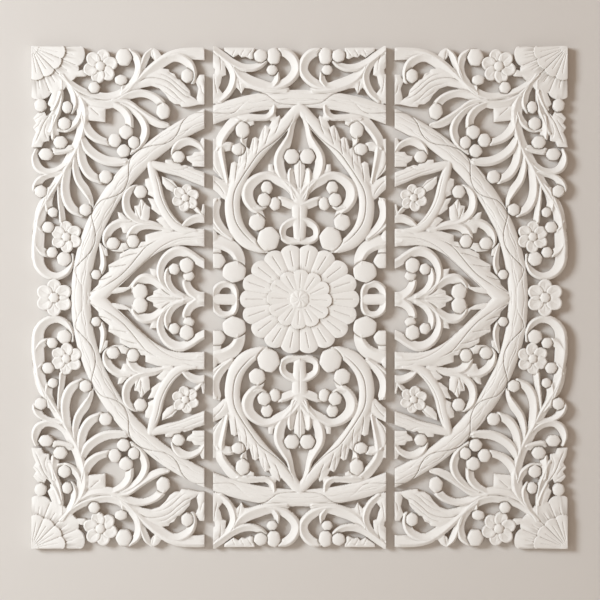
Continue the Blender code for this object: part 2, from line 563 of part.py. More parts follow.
def outline_loops(field):
    """Closed loops around the wood, wood on the left, as (u, v, height)."""
    edge = np.where(field.edge == 0, 1e-6, field.edge)
    wood = edge > 0
    u = field.u_line
    v = field.v_line
    follow = {}
    place = {}

    def crossing(i, j, up):
        key = (i, j, up)
        if key not in place:
            i2, j2 = (i + 1, j) if up else (i, j + 1)
            a = edge[i, j]
            b = edge[i2, j2]
            t = min(max(a / (a - b), 0.02), 0.98)
            inner = (i, j) if a > 0 else (i2, j2)
            high = field.high[inner] if field.cut[inner] else 0.0
            place[key] = (u[j] + t * (u[j2] - u[j]), v[i] + t * (v[i2] - v[i]), high)
        return key

    corners = wood[:-1, :-1] * 1 + wood[:-1, 1:] * 2 + wood[1:, 1:] * 4 + wood[1:, :-1] * 8
    lines = {1: "SW", 2: "ES", 3: "EW", 4: "NE", 6: "NS", 7: "NW", 8: "WN",
             9: "SN", 11: "EN", 12: "WE", 13: "SE", 14: "WS"}
    for i, j in zip(*np.nonzero((corners > 0) & (corners < 15))):
        i = int(i)
        j = int(j)
        sides = {"S": (i, j, False), "N": (i + 1, j, False), "W": (i, j, True), "E": (i, j + 1, True)}
        case = int(corners[i, j])
        middle = edge[i:i + 2, j:j + 2].mean() > 0
        if case == 5:
            pairs = ("SE", "NW") if middle else ("SW", "NE")
        elif case == 10:
            pairs = ("ES", "WN") if not middle else ("EN", "WS")
        else:
            pairs = (lines[case],)
        for pair in pairs:
            start = crossing(*sides[pair[0]])
            follow[start] = crossing(*sides[pair[1]])
    loops = []
    while follow:
        key = next(iter(follow))
        loop = []
        while key in follow:
            loop.append(place[key])
            key = follow.pop(key)
        loops.append(np.array(loop))
    return loops


def loop_area(loop):
    x = loop[:, 0]
    y = loop[:, 1]
    return 0.5 * float(np.sum(x * np.roll(y, -1) - np.roll(x, -1) * y))


def thinned(loop, tolerance):
    """The loop with only the points that shape it."""
    count = len(loop)
    far = int(np.argmax(np.hypot(loop[:, 0] - loop[0, 0], loop[:, 1] - loop[0, 1])))
    closed = np.vstack([loop, loop[:1]])
    keep = {0, far, count}
    work = [(0, far), (far, count)]
    while work:
        a, b = work.pop()
        if b - a < 2:
            continue
        part = closed[a + 1:b]
        run = closed[b, :2] - closed[a, :2]
        length = math.hypot(run[0], run[1]) or 1e-9
        t = np.clip(((part[:, :2] - closed[a, :2]) @ run) / length ** 2, 0, 1)
        away = np.hypot(part[:, 0] - closed[a, 0] - t * run[0],
                        part[:, 1] - closed[a, 1] - t * run[1])
        rise = part[:, 2] - closed[a, 2] - t * (closed[b, 2] - closed[a, 2])
        miss = np.maximum(away, 3.0 * np.abs(rise))
        k = int(np.argmax(miss))
        if miss[k] > tolerance:
            keep.add(a + 1 + k)
            work.append((a, a + 1 + k))
            work.append((a + 1 + k, b))
    keep.discard(count)
    return closed[sorted(keep)]


def point_worth(loop, k):
    """Area that the outline would lose without its point k."""
    a = loop[k - 1]
    b = loop[(k + 1) % len(loop)]
    one = (loop[k] - a) * (1, 1, 5)
    two = (b - a) * (1, 1, 5)
    return float(np.linalg.norm(np.cross(one, two)))


def frees(loops, n, k):
    """True if no outline point lies in the corner cut off with point k."""
    loop = loops[n]
    a = loop[k - 1]
    b = loop[k]
    c = loop[(k + 1) % len(loop)]
    every = np.vstack(loops)
    x = every[:, 0]
    y = every[:, 1]
    sides = []
    for p, q in ((a, b), (b, c), (c, a)):
        sides.append((q[0] - p[0]) * (y - p[1]) - (q[1] - p[1]) * (x - p[0]))
    near = 1e-3
    over = (sides[0] > -near) & (sides[1] > -near) & (sides[2] > -near)
    under = (sides[0] < near) & (sides[1] < near) & (sides[2] < near)
    return int((over | under).sum()) <= 3


def spared(loops, count):
    """The loops with their least telling points taken out, one by one."""
    loops = list(loops)
    worth = [[point_worth(q, k) for k in range(len(q))] for q in loops]
    total = sum(len(q) for q in loops)
    while total > count:
        least = [min(w) if len(w) > 4 else 1e9 for w in worth]
        n = int(np.argmin(least))
        if least[n] >= 1e9:
            break
        k = worth[n].index(least[n])
        if not frees(loops, n, k):
            worth[n][k] = 1e9
            continue
        loops[n] = np.delete(loops[n], k, axis=0)
        del worth[n][k]
        size = len(loops[n])
        for near in ((k - 1) % size, k % size):
            worth[n][near] = max(point_worth(loops[n], near), least[n])
        total -= 1
    return loops


def rings_of(field, count):
    loops = outline_loops(field)
    outer = max(loops, key=loop_area)
    keep = [outer] + [q for q in loops if loop_area(q) < -SMALLEST_OPENING]
    keep = [q for q in (thinned(q, OUTLINE_TOLERANCE) for q in keep) if len(q) > 2]
    return spared(keep, count)


def triangles_in(points, edges, rings):
    """Triangles between the points that lie in the wood."""
    plane = [Vector((float(p[0]), float(p[1]))) for p in points]
    found = delaunay_2d_cdt(plane, edges, [], 0, 1e-7)
    if len(found[0]) != len(points):
        return None
    tri = np.array(found[2])
    spot = np.array([(q[0], q[1]) for q in found[0]])
    middle = spot[tri].mean(1)
    inside = np.zeros(len(tri), bool)
    for ring in rings:
        for a, b in zip(ring, np.roll(ring, -1, axis=0)):
            crossing = (a[1] > middle[:, 1]) != (b[1] > middle[:, 1])
            if a[1] != b[1]:
                x = (b[0] - a[0]) * (middle[:, 1] - a[1]) / (b[1] - a[1]) + a[0]
                inside ^= crossing & (middle[:, 0] < x)
    origin = found[3]
    order = np.array([group[0] for group in origin])
    tri = order[tri[inside]]
    a, b, c = points[tri[:, 0], :2], points[tri[:, 1], :2], points[tri[:, 2], :2]
    ab = b - a
    ac = c - a
    flip = ab[:, 0] * ac[:, 1] - ab[:, 1] * ac[:, 0] < 0
    tri[flip] = tri[flip][:, ::-1]
    return tri


def worst_misses(field, points, tri):
    """For each triangle, the grid node that lies farthest off it."""
    u0 = field.u_line[0]
    v0 = field.v_line[0]
    rows, columns = field.u.shape
    found = []
    for t in tri:
        p = points[t]
        j0 = max(int(math.ceil((p[:, 0].min() - u0) / GRID_STEP)), 0)
        j1 = min(int((p[:, 0].max() - u0) / GRID_STEP) + 1, columns)
        i0 = max(int(math.ceil((p[:, 1].min() - v0) / GRID_STEP)), 0)
        i1 = min(int((p[:, 1].max() - v0) / GRID_STEP) + 1, rows)
        if j1 <= j0 or i1 <= i0:
            continue
        x = field.u[i0:i1, j0:j1] - p[0, 0]
        y = field.v[i0:i1, j0:j1] - p[0, 1]
        ax, ay = p[1, 0] - p[0, 0], p[1, 1] - p[0, 1]
        bx, by = p[2, 0] - p[0, 0], p[2, 1] - p[0, 1]
        whole = ax * by - ay * bx
        if whole < 1e-9:
            continue
        s = (x * by - y * bx) / whole
        r = (ax * y - ay * x) / whole
        ok = (s > 0.02) & (r > 0.02) & (s + r < 0.98) & (field.edge[i0:i1, j0:j1] > 0.9)
        if not ok.any():
            continue
        flat = p[0, 2] + s * (p[1, 2] - p[0, 2]) + r * (p[2, 2] - p[0, 2])
        high = field.high[i0:i1, j0:j1]
        miss = np.where(ok, np.abs(high - flat), 0)
        k = np.unravel_index(int(np.argmax(miss)), miss.shape)
        if miss[k] > FACET_TOLERANCE:
            found.append((float(miss[k]) * whole ** 0.4, float(field.u[i0 + k[0], j0 + k[1]]),
                          float(field.v[i0 + k[0], j0 + k[1]]), float(high[k])))
    return sorted(found, reverse=True)


def faceted(field):
    """Top triangles, back triangles and points of one board."""
    for more in (1.0, 1.1, 1.25, 1.5, 2.0):
        rings = rings_of(field, int(more * RIM_POINTS))
        points = np.vstack(rings)
        edges = []
        start = 0
        for ring in rings:
            n = len(ring)
            edges += [(start + k, start + (k + 1) % n) for k in range(n)]
            start += n
        back = triangles_in(points, edges, rings)
        if back is not None:
            break
    rim = len(points)
    marks = [p for p in field.marks if field.inside(p) > 1.6]
    if marks:
        points = np.vstack([points, np.array([(x, y, field.level(x, y)) for x, y in marks])])
    tri = triangles_in(points, edges, rings)
    for portion in (0.2, 0.2, 0.2, 0.2, 0.1, 0.1):
        room = int(portion * MOST_INNER_POINTS)
        fresh = []
        for miss, x, y, z in worst_misses(field, points, tri):
            if len(fresh) >= room:
                break
            near = np.hypot(points[:, 0] - x, points[:, 1] - y).min()
            if fresh:
                so_far = np.array(fresh)
                near = min(near, np.hypot(so_far[:, 0] - x, so_far[:, 1] - y).min())
            if near > 1.3:
                fresh.append((x, y, z))
        if not fresh:
            break
        points = np.vstack([points, np.array(fresh)])
        tri = triangles_in(points, edges, rings)
    return points, rim, tri, back, edges


def board_mesh(name, field):
    points, rim, tri, back, edges = faceted(field)
    deep = BOARD_THICKNESS - CARVING_DEPTH * (1 - points[:, 2])
    corners = [(float(p[0]) * SQUARE_U, -float(d), float(p[1]) * SQUARE_V)
               for p, d in zip(points, deep)]
    under = len(corners)
    corners += [(float(p[0]) * SQUARE_U, 0.0, float(p[1]) * SQUARE_V) for p in points[:rim]]
    faces = [tuple(int(k) for k in t) for t in tri]
    faces += [tuple(int(k) + under for k in t[::-1]) for t in back]
    for a, b in edges:
        faces.append((b, a, a + under))
        faces.append((b, a + under, b + under))
    mesh = bpy.data.meshes.new(name)
    mesh.from_pydata(corners, [], faces)
    mesh.validate()
    mesh.update()
    return mesh


def painted_wood(name):
    material = bpy.data.materials.new(name)
    material.use_nodes = True
    shader = material.node_tree.nodes["Principled BSDF"]
    shader.inputs["Base Color"].default_value = WHITE_PAINT
    shader.inputs["Roughness"].default_value = 0.6
    material.diffuse_color = WHITE_PAINT
    return material


def add_board(name, field):
    board = bpy.data.objects.new(name, board_mesh(name, field))
    bpy.context.scene.collection.objects.link(board)
    board.data.materials.append(painted_wood(name + "_paint"))
    return board


def main():
    for old in list(bpy.data.objects):
        bpy.data.objects.remove(old, do_unlink=True)
    quarter = carved_quarter()
    half = SET_WIDTH / 2
    spans = (
        ("left_panel", -half, -half + PANEL_WIDTH),
        ("centre_panel", -PANEL_WIDTH / 2, PANEL_WIDTH / 2),
        ("right_panel", half - PANEL_WIDTH, half),
    )
    for name, low, high in spans:
        add_board(name, panel_field(quarter, low / SQUARE_U, high / SQUARE_U))


main()
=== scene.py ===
"""Set of three carved openwork wall panels in white painted wood.

Each board starts as a flat sheet of small squares. The squares over the
openings are taken out, the sheet is drawn out to a board, and its front is
carved to the height of the pattern: stems, berries, leaves, flowers, the
twined ring, the rosette and the corner fans.
"""
import math

import bmesh
import bpy
import numpy as np
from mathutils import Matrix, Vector


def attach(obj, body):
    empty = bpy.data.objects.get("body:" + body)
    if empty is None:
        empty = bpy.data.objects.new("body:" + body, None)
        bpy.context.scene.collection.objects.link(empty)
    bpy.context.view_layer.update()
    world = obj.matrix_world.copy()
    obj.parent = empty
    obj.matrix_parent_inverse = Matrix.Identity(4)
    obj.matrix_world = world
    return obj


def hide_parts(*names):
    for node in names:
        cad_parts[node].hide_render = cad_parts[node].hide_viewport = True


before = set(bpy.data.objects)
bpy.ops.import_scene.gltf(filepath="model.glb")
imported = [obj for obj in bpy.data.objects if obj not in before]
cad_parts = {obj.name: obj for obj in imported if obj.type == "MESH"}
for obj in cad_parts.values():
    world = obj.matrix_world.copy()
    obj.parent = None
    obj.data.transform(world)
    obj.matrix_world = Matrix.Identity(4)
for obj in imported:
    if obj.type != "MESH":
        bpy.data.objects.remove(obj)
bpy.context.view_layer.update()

bl_info = {
    "name": "Carved Wall Panels",
    "version": (1, 0, 0),
    "blender": (4, 5, 0),
    "location": "View3D > Sidebar > Wall Panels",
    "description": "Three carved openwork wall panels in white paint",
    "category": "Object",
}

# the squared sheet the pattern is drawn on, in squares over the whole set
SHEET_WIDE = 535.8
SHEET_HIGH = 502.4

# the lower quarters hang lower than a mirror image, by DRIFT squares in the
# middle and less towards the sides and the bottom
DRIFT = 5.5
DRIFT_BEND = 9e-5
DRIFT_REACH = 275.0

# the ring: inner and outer half width and half height
RING = (209.0, 190.0, 228.3, 207.5)
# the rosette: squash, outer, inner and boss radius, petals, tilt in degrees
ROSETTE = (0.915, 60.0, 32.5, 9.5, 18, 10.0)
# the rosette hangs this far under the middle of the sheet
ROSETTE_DROP = 1.8
# the corner fan: corner, inner and outer radius, lobes
FAN = (268.0, 251.0, 34.5, 54.0, 4)
# the inner tier of the rosette: petals, and their turn in radians
INNER_TIER = (12, 0.8)
# bark lines on one quarter of the ring: how many, their width and depth
BARK = (58, 1.2, 0.11)

# the quarter is drawn from a little past the middle to here, in squares
QUARTER_PAST = 6
QUARTER_WIDE = 272
QUARTER_HIGH = 258
NO_WOOD = -9.0
# a carved line stops this far above the lowest carving
LOWEST_LINE = 0.02
# the rim moves onto the outline by this share of a square at most
RIM_REACH = 0.8
# and is worn lower by this share of the carving's depth
RIM_WEAR = 0.05
# painted recess shade of wood that lies level with what is round it, which darkens nothing
LEVEL = 0.5
# facets that meet at a sharper angle than this show an edge, in degrees
SHARP_EDGE = 34

PAINT_NAME = "matt_white_emulsion_on_carved_wood"
# the sides are fully painted and unshaded this far in front of the backs, and thinnest and darkest
# here, in metres: thinner paint and painted shade deep in the openings
WHOLE_COAT_UNSHADED = 0.0105
THIN_COAT_SHADED = 0.002

# the stage, in metres: the wall stands just off the backs, and the floor runs
# in a little under it
WALL_OFF = 0.0015
WALL_HIGH = 4.6
STAGE_WIDE = 8.0
FLOOR_DEEP = 5.0
FLOOR_LAP = 0.0005
FLOOR_LEVEL = -1.4
# the wall is clear to light that comes from nearer than this
CLEAR_REACH = 0.004
# the window's light: place, side, watts and colour
WINDOW = ((-3.5, -3.3, 1.25), 1.62, 190, "#F0F9FF")
# the room's light: colour and strength
ROOM = ("#FFE3CA", 0.38)
# the camera: its distance, its sensor, and how far in front of the backs the
# plane lies that it fits to the photo
CAMERA_AWAY = 3.0
SENSOR_WIDE = 36.0
FITTED_PLANE = 0.012
# width and middle of the photo, in squares
PHOTO_WIDE = 600
PHOTO_MIDDLE = (0.4, -2.6)

# the quarter of the pattern: u to the right and v upward from the middle of
# the set, in squares. A stem is a run of (u, v, width), a berry is
# (u, v, half width, half height), a leaf is its outline, and a cut is a run of
# (u, v) with its width and depth.
PATTERN = []


def stem(*points, **more):
    PATTERN.append(("stem", points, more))


def berry(u, v, half_wide, half_high=None):
    PATTERN.append(("berry", (u, v, half_wide, half_high or half_wide), {}))


def leaf(*points):
    PATTERN.append(("leaf", points, {}))


def flower(u, v, size, petals, first):
    PATTERN.append(("flower", (u, v, size, petals, first), {}))


def cut(*points, wide=1.5, deep=0.24):
    PATTERN.append(("cut", points, {"wide": wide, "deep": deep}))


# small leaves in the tip of the side arch and between corner flower and fan
leaf((166, 17), (171, 10.5), (181, 10), (188, 11), (200, 6), (198, 1), (190, 3.6), (183, 4),
     (176, 5.4), (169, 9))
leaf((212, 229), (219, 227), (228, 224), (236, 220.3), (215, 221), (210, 224))
# knot over the rosette (on the upright axis) and beside it (on the level axis)
stem((0, 62, 12), (0, 76, 14), (0, 92, 16), (0, 104, 12), kind='band')
stem((0, 56.5, 7), (10, 56.5, 7.5), (16.7, 61, 7), (16, 69.5, 7), (10, 74.5, 8), (2, 77, 9))
stem((64.5, -8, 7), (64.5, 6, 7), (69, 12.5, 7), (77, 13, 7), (83, 8, 8), (84.5, 0, 8),
     (84.5, -6, 8))
stem((66, -2, 10.4), (100, -2, 11), kind='band')
# big balls round the rosette
berry(31, 58.5, 11, 12)
leaf((22, 54), (29, 45.5), (40, 44.2), (46, 53), (38, 62), (28, 62))
berry(42.5, 75, 8.2)
berry(65.3, 25.5, 11.8, 10.5)
berry(83, 36.5, 8.8, 7.6)
leaf((77, 40), (79.5, 50), (90, 51.5), (90, 37), (84, 38))
# broad C-scroll beside the ball
stem((59.5, 27, 9), (60, 38, 11), (65, 47.5, 13), (74, 53.5, 14), (84, 56, 14), (100, 57.5, 12),
     side=1)
# upper pointed arch: acanthus band
stem((33, 47.5, 6), (42, 50.5, 11), (53, 57, 15), (62, 68, 16), (66.3, 82, 15.5), (67, 96, 15),
     (63.5, 110, 14), (56, 125, 13), (46, 139, 13), (35.5, 152, 13), (24, 164, 13), (13, 175, 12),
     (4, 186, 11), (-2, 194, 10), kind='band')
# lobes on its outer side
leaf((16, 172), (20, 182), (27, 178), (31, 169), (31, 156), (22, 164))
leaf((26, 160), (30, 170), (34.5, 172.3), (38, 166), (41.5, 156), (41, 145), (34, 152))
leaf((37, 148), (40.5, 158), (44, 160.5), (47, 159), (50, 148), (53, 138), (51, 132))
leaf((47, 138), (50, 148), (55, 152), (60, 146), (61.5, 135), (62, 122), (56, 124))
leaf((57, 124), (60.5, 133), (65, 136), (68.5, 134), (70, 122), (72, 112), (66, 106))
# heart-shaped scrollwork inside the arch
stem((0, 90, 8), (9, 93, 9), (18, 96.5, 8.5), (26, 96.5, 7))
berry(24.7, 93.5, 5.5, 6.6)
stem((-1, 97, 9), (4, 104, 10), (11, 111.5, 10.5), (20, 116.5, 10), (32, 121.5, 8.6),
     (43, 118.3, 10), (51, 110, 11.5), (52, 100, 11.5), (47.5, 91.5, 10), (41, 85.5, 8),
     (37.5, 78, 7))
berry(32.7, 109.5, 5.8, 6.5)
berry(35.5, 97.5, 6.6)
stem((33, 93, 5), (38, 90, 6), (44, 90, 6))
# stem that rises to the ball under the apex
stem((1, 98, 6), (8, 110, 9), (17, 121, 10), (20.5, 132, 10.5), (19.5, 142, 10.5), (14, 152, 9.5),
     (10, 161, 6.5), (8, 170, 5.5), (6, 178, 6))
berry(7.8, 140.8, 7.4)
leaf((22, 122), (26, 128), (27, 133), (31, 133), (31.5, 126), (26, 122))
stem((5, 100, 7), (8, 114, 8), (8.5, 124, 7), (8.3, 127, 5))
leaf((-5, 122), (-5.5, 131), (0, 148), (5.5, 131), (5, 122), (3, 104), (-3, 104))
# scrolls in the upper spandrel of the centre panel
stem((60, 179, 9), (52, 180, 8), (42, 179.8, 6.5), (33, 180, 6.5), (27.8, 184, 7), (26.5, 191, 6.5))
leaf((45.5, 177), (57, 177), (56, 169), (53, 168.5), (49, 171.5), (45.5, 173))
leaf((22, 176), (29, 176.5), (33, 180), (30, 185), (24, 184))
stem((54, 178.5, 8), (65, 175.2, 11), (73, 167, 10), (79, 157, 10), (80, 146, 10), (77.5, 134, 8),
     (75, 124, 6), (73, 115, 5), side=1)
berry(57, 167.2, 7, 8)
stem((55.5, 164, 9), (56, 156, 6), (54.5, 150, 3))
berry(61.3, 148, 6.5, 5.8)
stem((64, 149.5, 7), (72, 151, 9), (80, 148, 8))
leaf((79, 160), (84, 149), (84, 158), (90, 160), (90, 131), (83, 124), (76, 117), (78, 130),
     (80, 145))
leaf((69, 107), (72, 113), (77.5, 117.5), (90, 124), (90, 111), (82, 104.5), (77, 99), (70, 95))
stem((83, 95, 9), (84.5, 86, 8.5), (83, 77, 9), (77, 68, 8), (68, 60, 6), side=-1)
leaf((79, 100), (82, 99.5), (90, 95), (90, 84), (82, 84), (81, 92))
stem((68, 59, 5), (76, 64, 5.5), (84, 71, 7), (92, 79, 7))
# frieze above the ring
stem((34, 210, 8), (21, 211.5, 9), (10, 217.5, 9.5), (3.6, 227, 9.8), (5.6, 237, 9.8),
     (12.5, 244, 9.5), (21, 246, 6.5))
berry(26, 241, 6.8, 8.5)
berry(27.5, 227.3, 5.4, 4.8)
stem((22.5, 224, 4.5), (23, 217, 6.5), (27, 211, 6))
stem((14, 207, 8), (26, 208.5, 10), (38, 211.5, 12), (50, 216, 12), (58.5, 222, 10), (64, 229, 7))
leaf((44, 208.3), (55, 209.5), (57, 206), (58.3, 203.4), (60.5, 207.3), (63, 209.8), (66, 206.7),
     (70, 205), (68, 224), (50, 220))
stem((34, 237, 5), (39, 232.5, 6.5), (47, 229.5, 7.5), (57, 230, 8), (67, 234.5, 8), (76, 241, 8),
     (84, 247, 7), (90, 252, 6))
berry(39, 241.5, 6.6, 6.4)
leaf((45, 249.5), (46, 239.5), (49, 238.3), (54, 240.8), (58, 240), (61, 243), (66, 240),
     (75, 246.5), (75.5, 249.7), (60, 249.7))
stem((77, 238, 5), (70, 231.5, 7), (66, 222, 7.5), (67.5, 212, 7.5), (72, 204, 7.5),
     (79, 197.5, 7), side=1)
leaf((88, 250), (82, 244), (76, 237), (74, 229), (73.5, 222.5), (77.5, 221), (79, 214),
     (81, 209.5), (77, 204), (79, 199), (86, 193.5), (90, 197), (90, 221.5), (85, 223.5),
     (84.5, 228), (90, 234), (90, 250))
# side panel: scrolls on the level axis
stem((88, -1.3, 13.6), (98, -1, 13), (104, 2, 10), (110, 7, 9), (113.2, 14, 8), (112, 19, 7))
berry(110.7, 21.5, 5.6, 4.8)
berry(113, 32, 7.2, 7.4)
berry(125.2, 28.3, 5.3, 5.6)
stem((104, -1.5, 5), (117, 1, 6.5), (126.5, 7, 7), (131.7, 16, 7), (131.5, 25, 6.5), (128, 31, 4))
stem((127, 2, 5), (134, 10, 6.5), (138.7, 20, 7.5), (138.7, 30, 8), (134, 39, 9), (126, 45, 10),
     (117, 46, 10), (108, 41.5, 9.5), (100, 36, 9), (92, 32, 9))
stem((118, -0.6, 9), (129, 3.2, 8.5), (138, 11, 8), (147, 17.5, 9), (156, 18.5, 10.5),
     (163, 13, 9), (165, 6, 6))
berry(159.3, 5.5, 7.4, 8)
leaf((122, -5), (122, 4), (132, 6.5), (138.5, 9.5), (146, 6.3), (146.3, 2.6), (154, -0.6),
     (154, -2), (146.3, -4.5), (138, -8))
leaf((141, 19), (143.3, 28), (150, 29), (148.5, 24), (152, 20), (147, 14))
# side pointed arch: long acanthus band, its outer lobes
stem((90, 60, 17), (104, 60, 17), (118, 59.5, 15), (134, 56.5, 15), (150, 48.5, 15),
     (164, 37.5, 16), (178, 25, 17), (192, 11, 16), (204, -3, 14), kind='band')
leaf((118, 55), (130, 66), (142, 66), (154, 62.5), (154, 56), (163, 55), (168, 49), (176, 44),
     (165, 35), (150, 44))
leaf((155, 47), (168, 49.5), (179.5, 43.5), (180, 38.3), (191, 32.5), (190.5, 26), (200, 18.5),
     (201, 13), (210, 4), (204, -2), (190, 8), (175, 26))
# small pointed arch with the flower
stem((104, 66, 5), (115, 67, 8), (125, 73, 10), (134, 85, 10), (140, 98, 10.5), (143, 112, 10),
     (146.5, 124, 9), (149, 133, 7), kind='band')
stem((90, 116, 14), (104, 121, 13), (118, 126, 11), (132, 129, 10), (146, 132.5, 8), kind='band')
leaf((128, 69), (136, 71), (143.5, 77.5), (140, 80), (133, 82))
leaf((133, 80), (141, 83), (148, 88.5), (148, 92), (152, 99.5), (144, 98))
leaf((140, 96), (148, 101), (153.5, 104), (154.5, 118), (150, 119.5), (151, 128), (147, 130),
     (142, 116))
leaf((96, 121), (107, 130), (109, 130.5), (114.5, 132.5), (118, 131.5), (121, 136), (127, 137.5),
     (134, 137.7), (134.5, 134), (146, 135.5), (146, 130), (120, 122))
flower(114, 99.5, 13.6, 6, 100)
leaf((119, 105), (121.5, 110), (127, 117), (137.5, 121), (137, 114), (133, 108.5), (126, 105))
stem((109, 93, 5), (103, 88, 4.5), (97, 80, 4.5), (92, 74, 5))
leaf((90, 94), (97, 93), (98.5, 84), (98, 76), (90, 76))
stem((92, 78, 8), (102, 79, 8.5), (110, 76, 7.5), (116, 71, 5))
# scroll under the ring, at the panel's edge
leaf((90, 145.5), (105, 145.5), (107.5, 142), (113.5, 141), (112, 137), (107.5, 134), (107, 131),
     (90, 130.5))
stem((96.5, 146, 4.5), (101, 152, 6), (110, 156, 7.5), (119, 154, 9), (125, 147, 6.5),
     (126.5, 140, 4))
berry(121, 140.5, 6.3, 5.8)
leaf((90, 159.5), (97.5, 159.5), (100.5, 153), (98, 146), (90, 146))
# scrolls between the arches and the ring
berry(159, 105.5, 6.4)
stem((157, 110, 4), (165, 109.8, 5.5), (171.8, 104, 7), (173.7, 95, 8), (171.5, 86, 8.5),
     (165, 79, 8), (156, 75, 7), (145, 73, 5.5), (135, 69, 4))
leaf((150, 80), (149.5, 90), (153, 92.5), (158.5, 99), (161, 92), (165.3, 91.5), (164, 82),
     (158, 75), (152, 75))
stem((130, 65.5, 3.5), (141, 69.5, 5), (153, 71.5, 6.5), (163, 69.3, 8.5), (168.5, 62, 9),
     (167.5, 54, 8))
berry(166.3, 56, 6, 6.4)
leaf((150, 72), (160, 77), (172, 79), (178, 84.5), (182, 85.5), (180.5, 79), (188, 75.5),
     (178, 69.5), (176.5, 64.5), (173, 64), (166, 70))
stem((170, 75, 6), (180, 74, 8), (188.5, 69, 8.5), (193, 61, 8), (192.5, 53.5, 6.5),
     (186, 48.5, 4.5), (177, 47.5, 4))
berry(186.3, 54, 6.4, 6)
leaf((170, 58), (174.5, 54.5), (181, 54), (184, 48), (176, 46.5), (168, 50))
stem((199.5, 53, 3), (197, 43, 5), (196.2, 33, 6), (199, 25, 6), (203, 22, 5))
leaf((198, 53), (192.5, 48), (191.5, 41.5), (196, 41.5))
berry(203.3, 22.8, 4.8)
# outside the ring: flower on the level axis, shield scroll with berries
flower(245.3, -0.3, 18.2, 6, 90)
stem((227.5, 42, 4), (228.5, 33, 5.5), (233.5, 25, 7), (243, 21, 7.5), (253.5, 24, 9),
     (260.5, 33, 11), (262, 45, 12.5), (261.5, 58, 12.5), (260, 70, 10.5), (258.5, 82, 9.5),
     (254, 95, 9), (249.5, 106, 9))
berry(235.3, 38.5, 7)
flower(233, 60.5, 15.6, 6, 88)
berry(247.2, 45, 5.3)
stem((250, 42.5, 6), (257, 46, 8), (262, 52, 7))
berry(251.3, 70.2, 5.8, 5.6)
stem((254, 68, 6), (259, 70, 7), (263, 76, 5))
# trunk of the corner spray and its blades
stem((238, 222, 5), (228, 209, 6.5), (220, 198, 9.5), (216.5, 184, 12), (218, 168, 9.5),
     (222, 154, 9.5), (228.5, 141, 9.5), (236, 127.5, 9), (242.8, 115, 7.6), (250.5, 103, 8),
     (258.5, 90, 8), (263, 76, 6), (266, 62, 3.5))
stem((216, 180, 6), (212, 168, 9.5), (205, 160.5, 9), (197, 156.5, 7.5), (187, 154, 6.5))
stem((218, 162, 5), (212.5, 150, 9), (204, 142, 9.5), (194, 137, 9.5), (184, 135.5, 9),
     (175, 136, 8))
stem((219, 160, 5), (218.7, 146, 8.5), (216, 133, 9.3), (209, 122.5, 9.5), (199, 117, 7.5))
berry(193.8, 120.5, 6.5)
stem((223, 146, 4), (224, 131, 6.5), (221, 118, 8), (214, 107.5, 8.5), (209, 98, 5), (208, 91, 4))
stem((228, 138, 5), (233, 124, 8.5), (234.5, 109, 9), (232.5, 97.5, 9.5), (227, 88.5, 9),
     (218, 83, 6))
berry(214, 87.6, 6)
stem((240.5, 113, 4), (239.3, 99, 5.5), (238, 87, 6), (236.8, 76, 6.5))
stem((244, 112, 6), (249.5, 104, 8.5), (251.5, 95, 8.3), (249.5, 87, 7.5), (245.5, 83, 5))
berry(246.5, 85, 4.8)
# blades on the outer edge
stem((234, 133, 6), (243, 127, 6.5), (253, 125.5, 7), (261, 129.5, 8.5), (264.5, 138, 7.5),
     (263, 147, 4))
berry(253.5, 143, 7, 6)
stem((238, 124, 6), (250, 122, 5), (258.5, 118, 7), (263, 110.5, 9), (260.5, 103.5, 7))
berry(258.5, 106, 6)
stem((228, 149, 7), (236, 147.5, 8), (244, 146.3, 7.5), (248.5, 146, 3))
berry(239, 155, 6.8, 6.2)
stem((244.3, 160, 8), (245, 170, 8), (244, 180, 7))
# serrated leaf at the edge
leaf((243, 190), (248, 180), (250, 170), (250.5, 156.5), (256, 155.5), (258, 150.5), (268, 150),
     (266.5, 158), (263.5, 165), (266.5, 170), (263.3, 174), (266.3, 179), (262, 184), (256, 187),
     (252.5, 181), (246, 188), (244, 197))
berry(258.8, 192, 6, 6.4)
# leaves between the fan and the trunk
stem((237, 222, 5), (231.5, 213, 5.5), (226, 203, 7), (225, 193, 7), (228, 186, 4.5))
berry(232.3, 190, 5, 6)
stem((238.3, 216, 4), (238.7, 200, 5), (241, 188, 6.5), (245.5, 177, 7), (250, 166, 8))
stem((240, 205, 8), (243.5, 195, 6.5), (247, 188, 5))
leaf((240, 214), (248, 203), (252, 193), (246, 188), (240, 195))
stem((219, 184, 5), (223.5, 174.5, 7), (232, 168.5, 6.5), (240, 168, 5))
berry(235, 173.6, 6.3)
# thorn in the round opening
leaf((194, 189), (208.5, 191), (213.5, 191), (213.5, 179), (210, 177), (194.3, 175.3))
# stems from the fan towards the middle
stem((238, 223, 5), (228, 213.5, 6), (217, 206.5, 6.5), (205, 202.5, 7), (192, 200.5, 8),
     (180, 203, 9), (170, 210.5, 8.5), (163, 220, 8), (160.5, 230, 8), (163, 240, 8),
     (171, 246, 6), (177, 247, 4))
berry(175.7, 240, 7.8, 8.6)
stem((220, 200, 8), (208, 194.5, 8), (195, 193, 9), (182, 195.5, 8), (170, 202, 8),
     (157, 204, 7.5), (146, 200.5, 8), (138.5, 194, 9), (136, 187, 10))
berry(136.2, 186, 6.8, 8)
stem((186, 196, 7), (172, 194, 7.5), (160.5, 186, 7.5), (150, 178.5, 8.5), (140, 173.5, 8),
     (132, 172, 5))
stem((178, 193, 5), (167, 187.5, 6), (158, 178.5, 7.5), (154, 168, 8), (156.5, 157.5, 8),
     (163, 150, 7), (169, 145, 5))
stem((186, 193, 6), (177, 188, 8), (171, 180, 8.5), (170, 171, 8))
berry(173.5, 165, 7, 6.8)
berry(165.7, 154.7, 5.6, 6.2)
berry(176, 146.5, 6.4)
berry(184.6, 157, 6.2, 6.8)
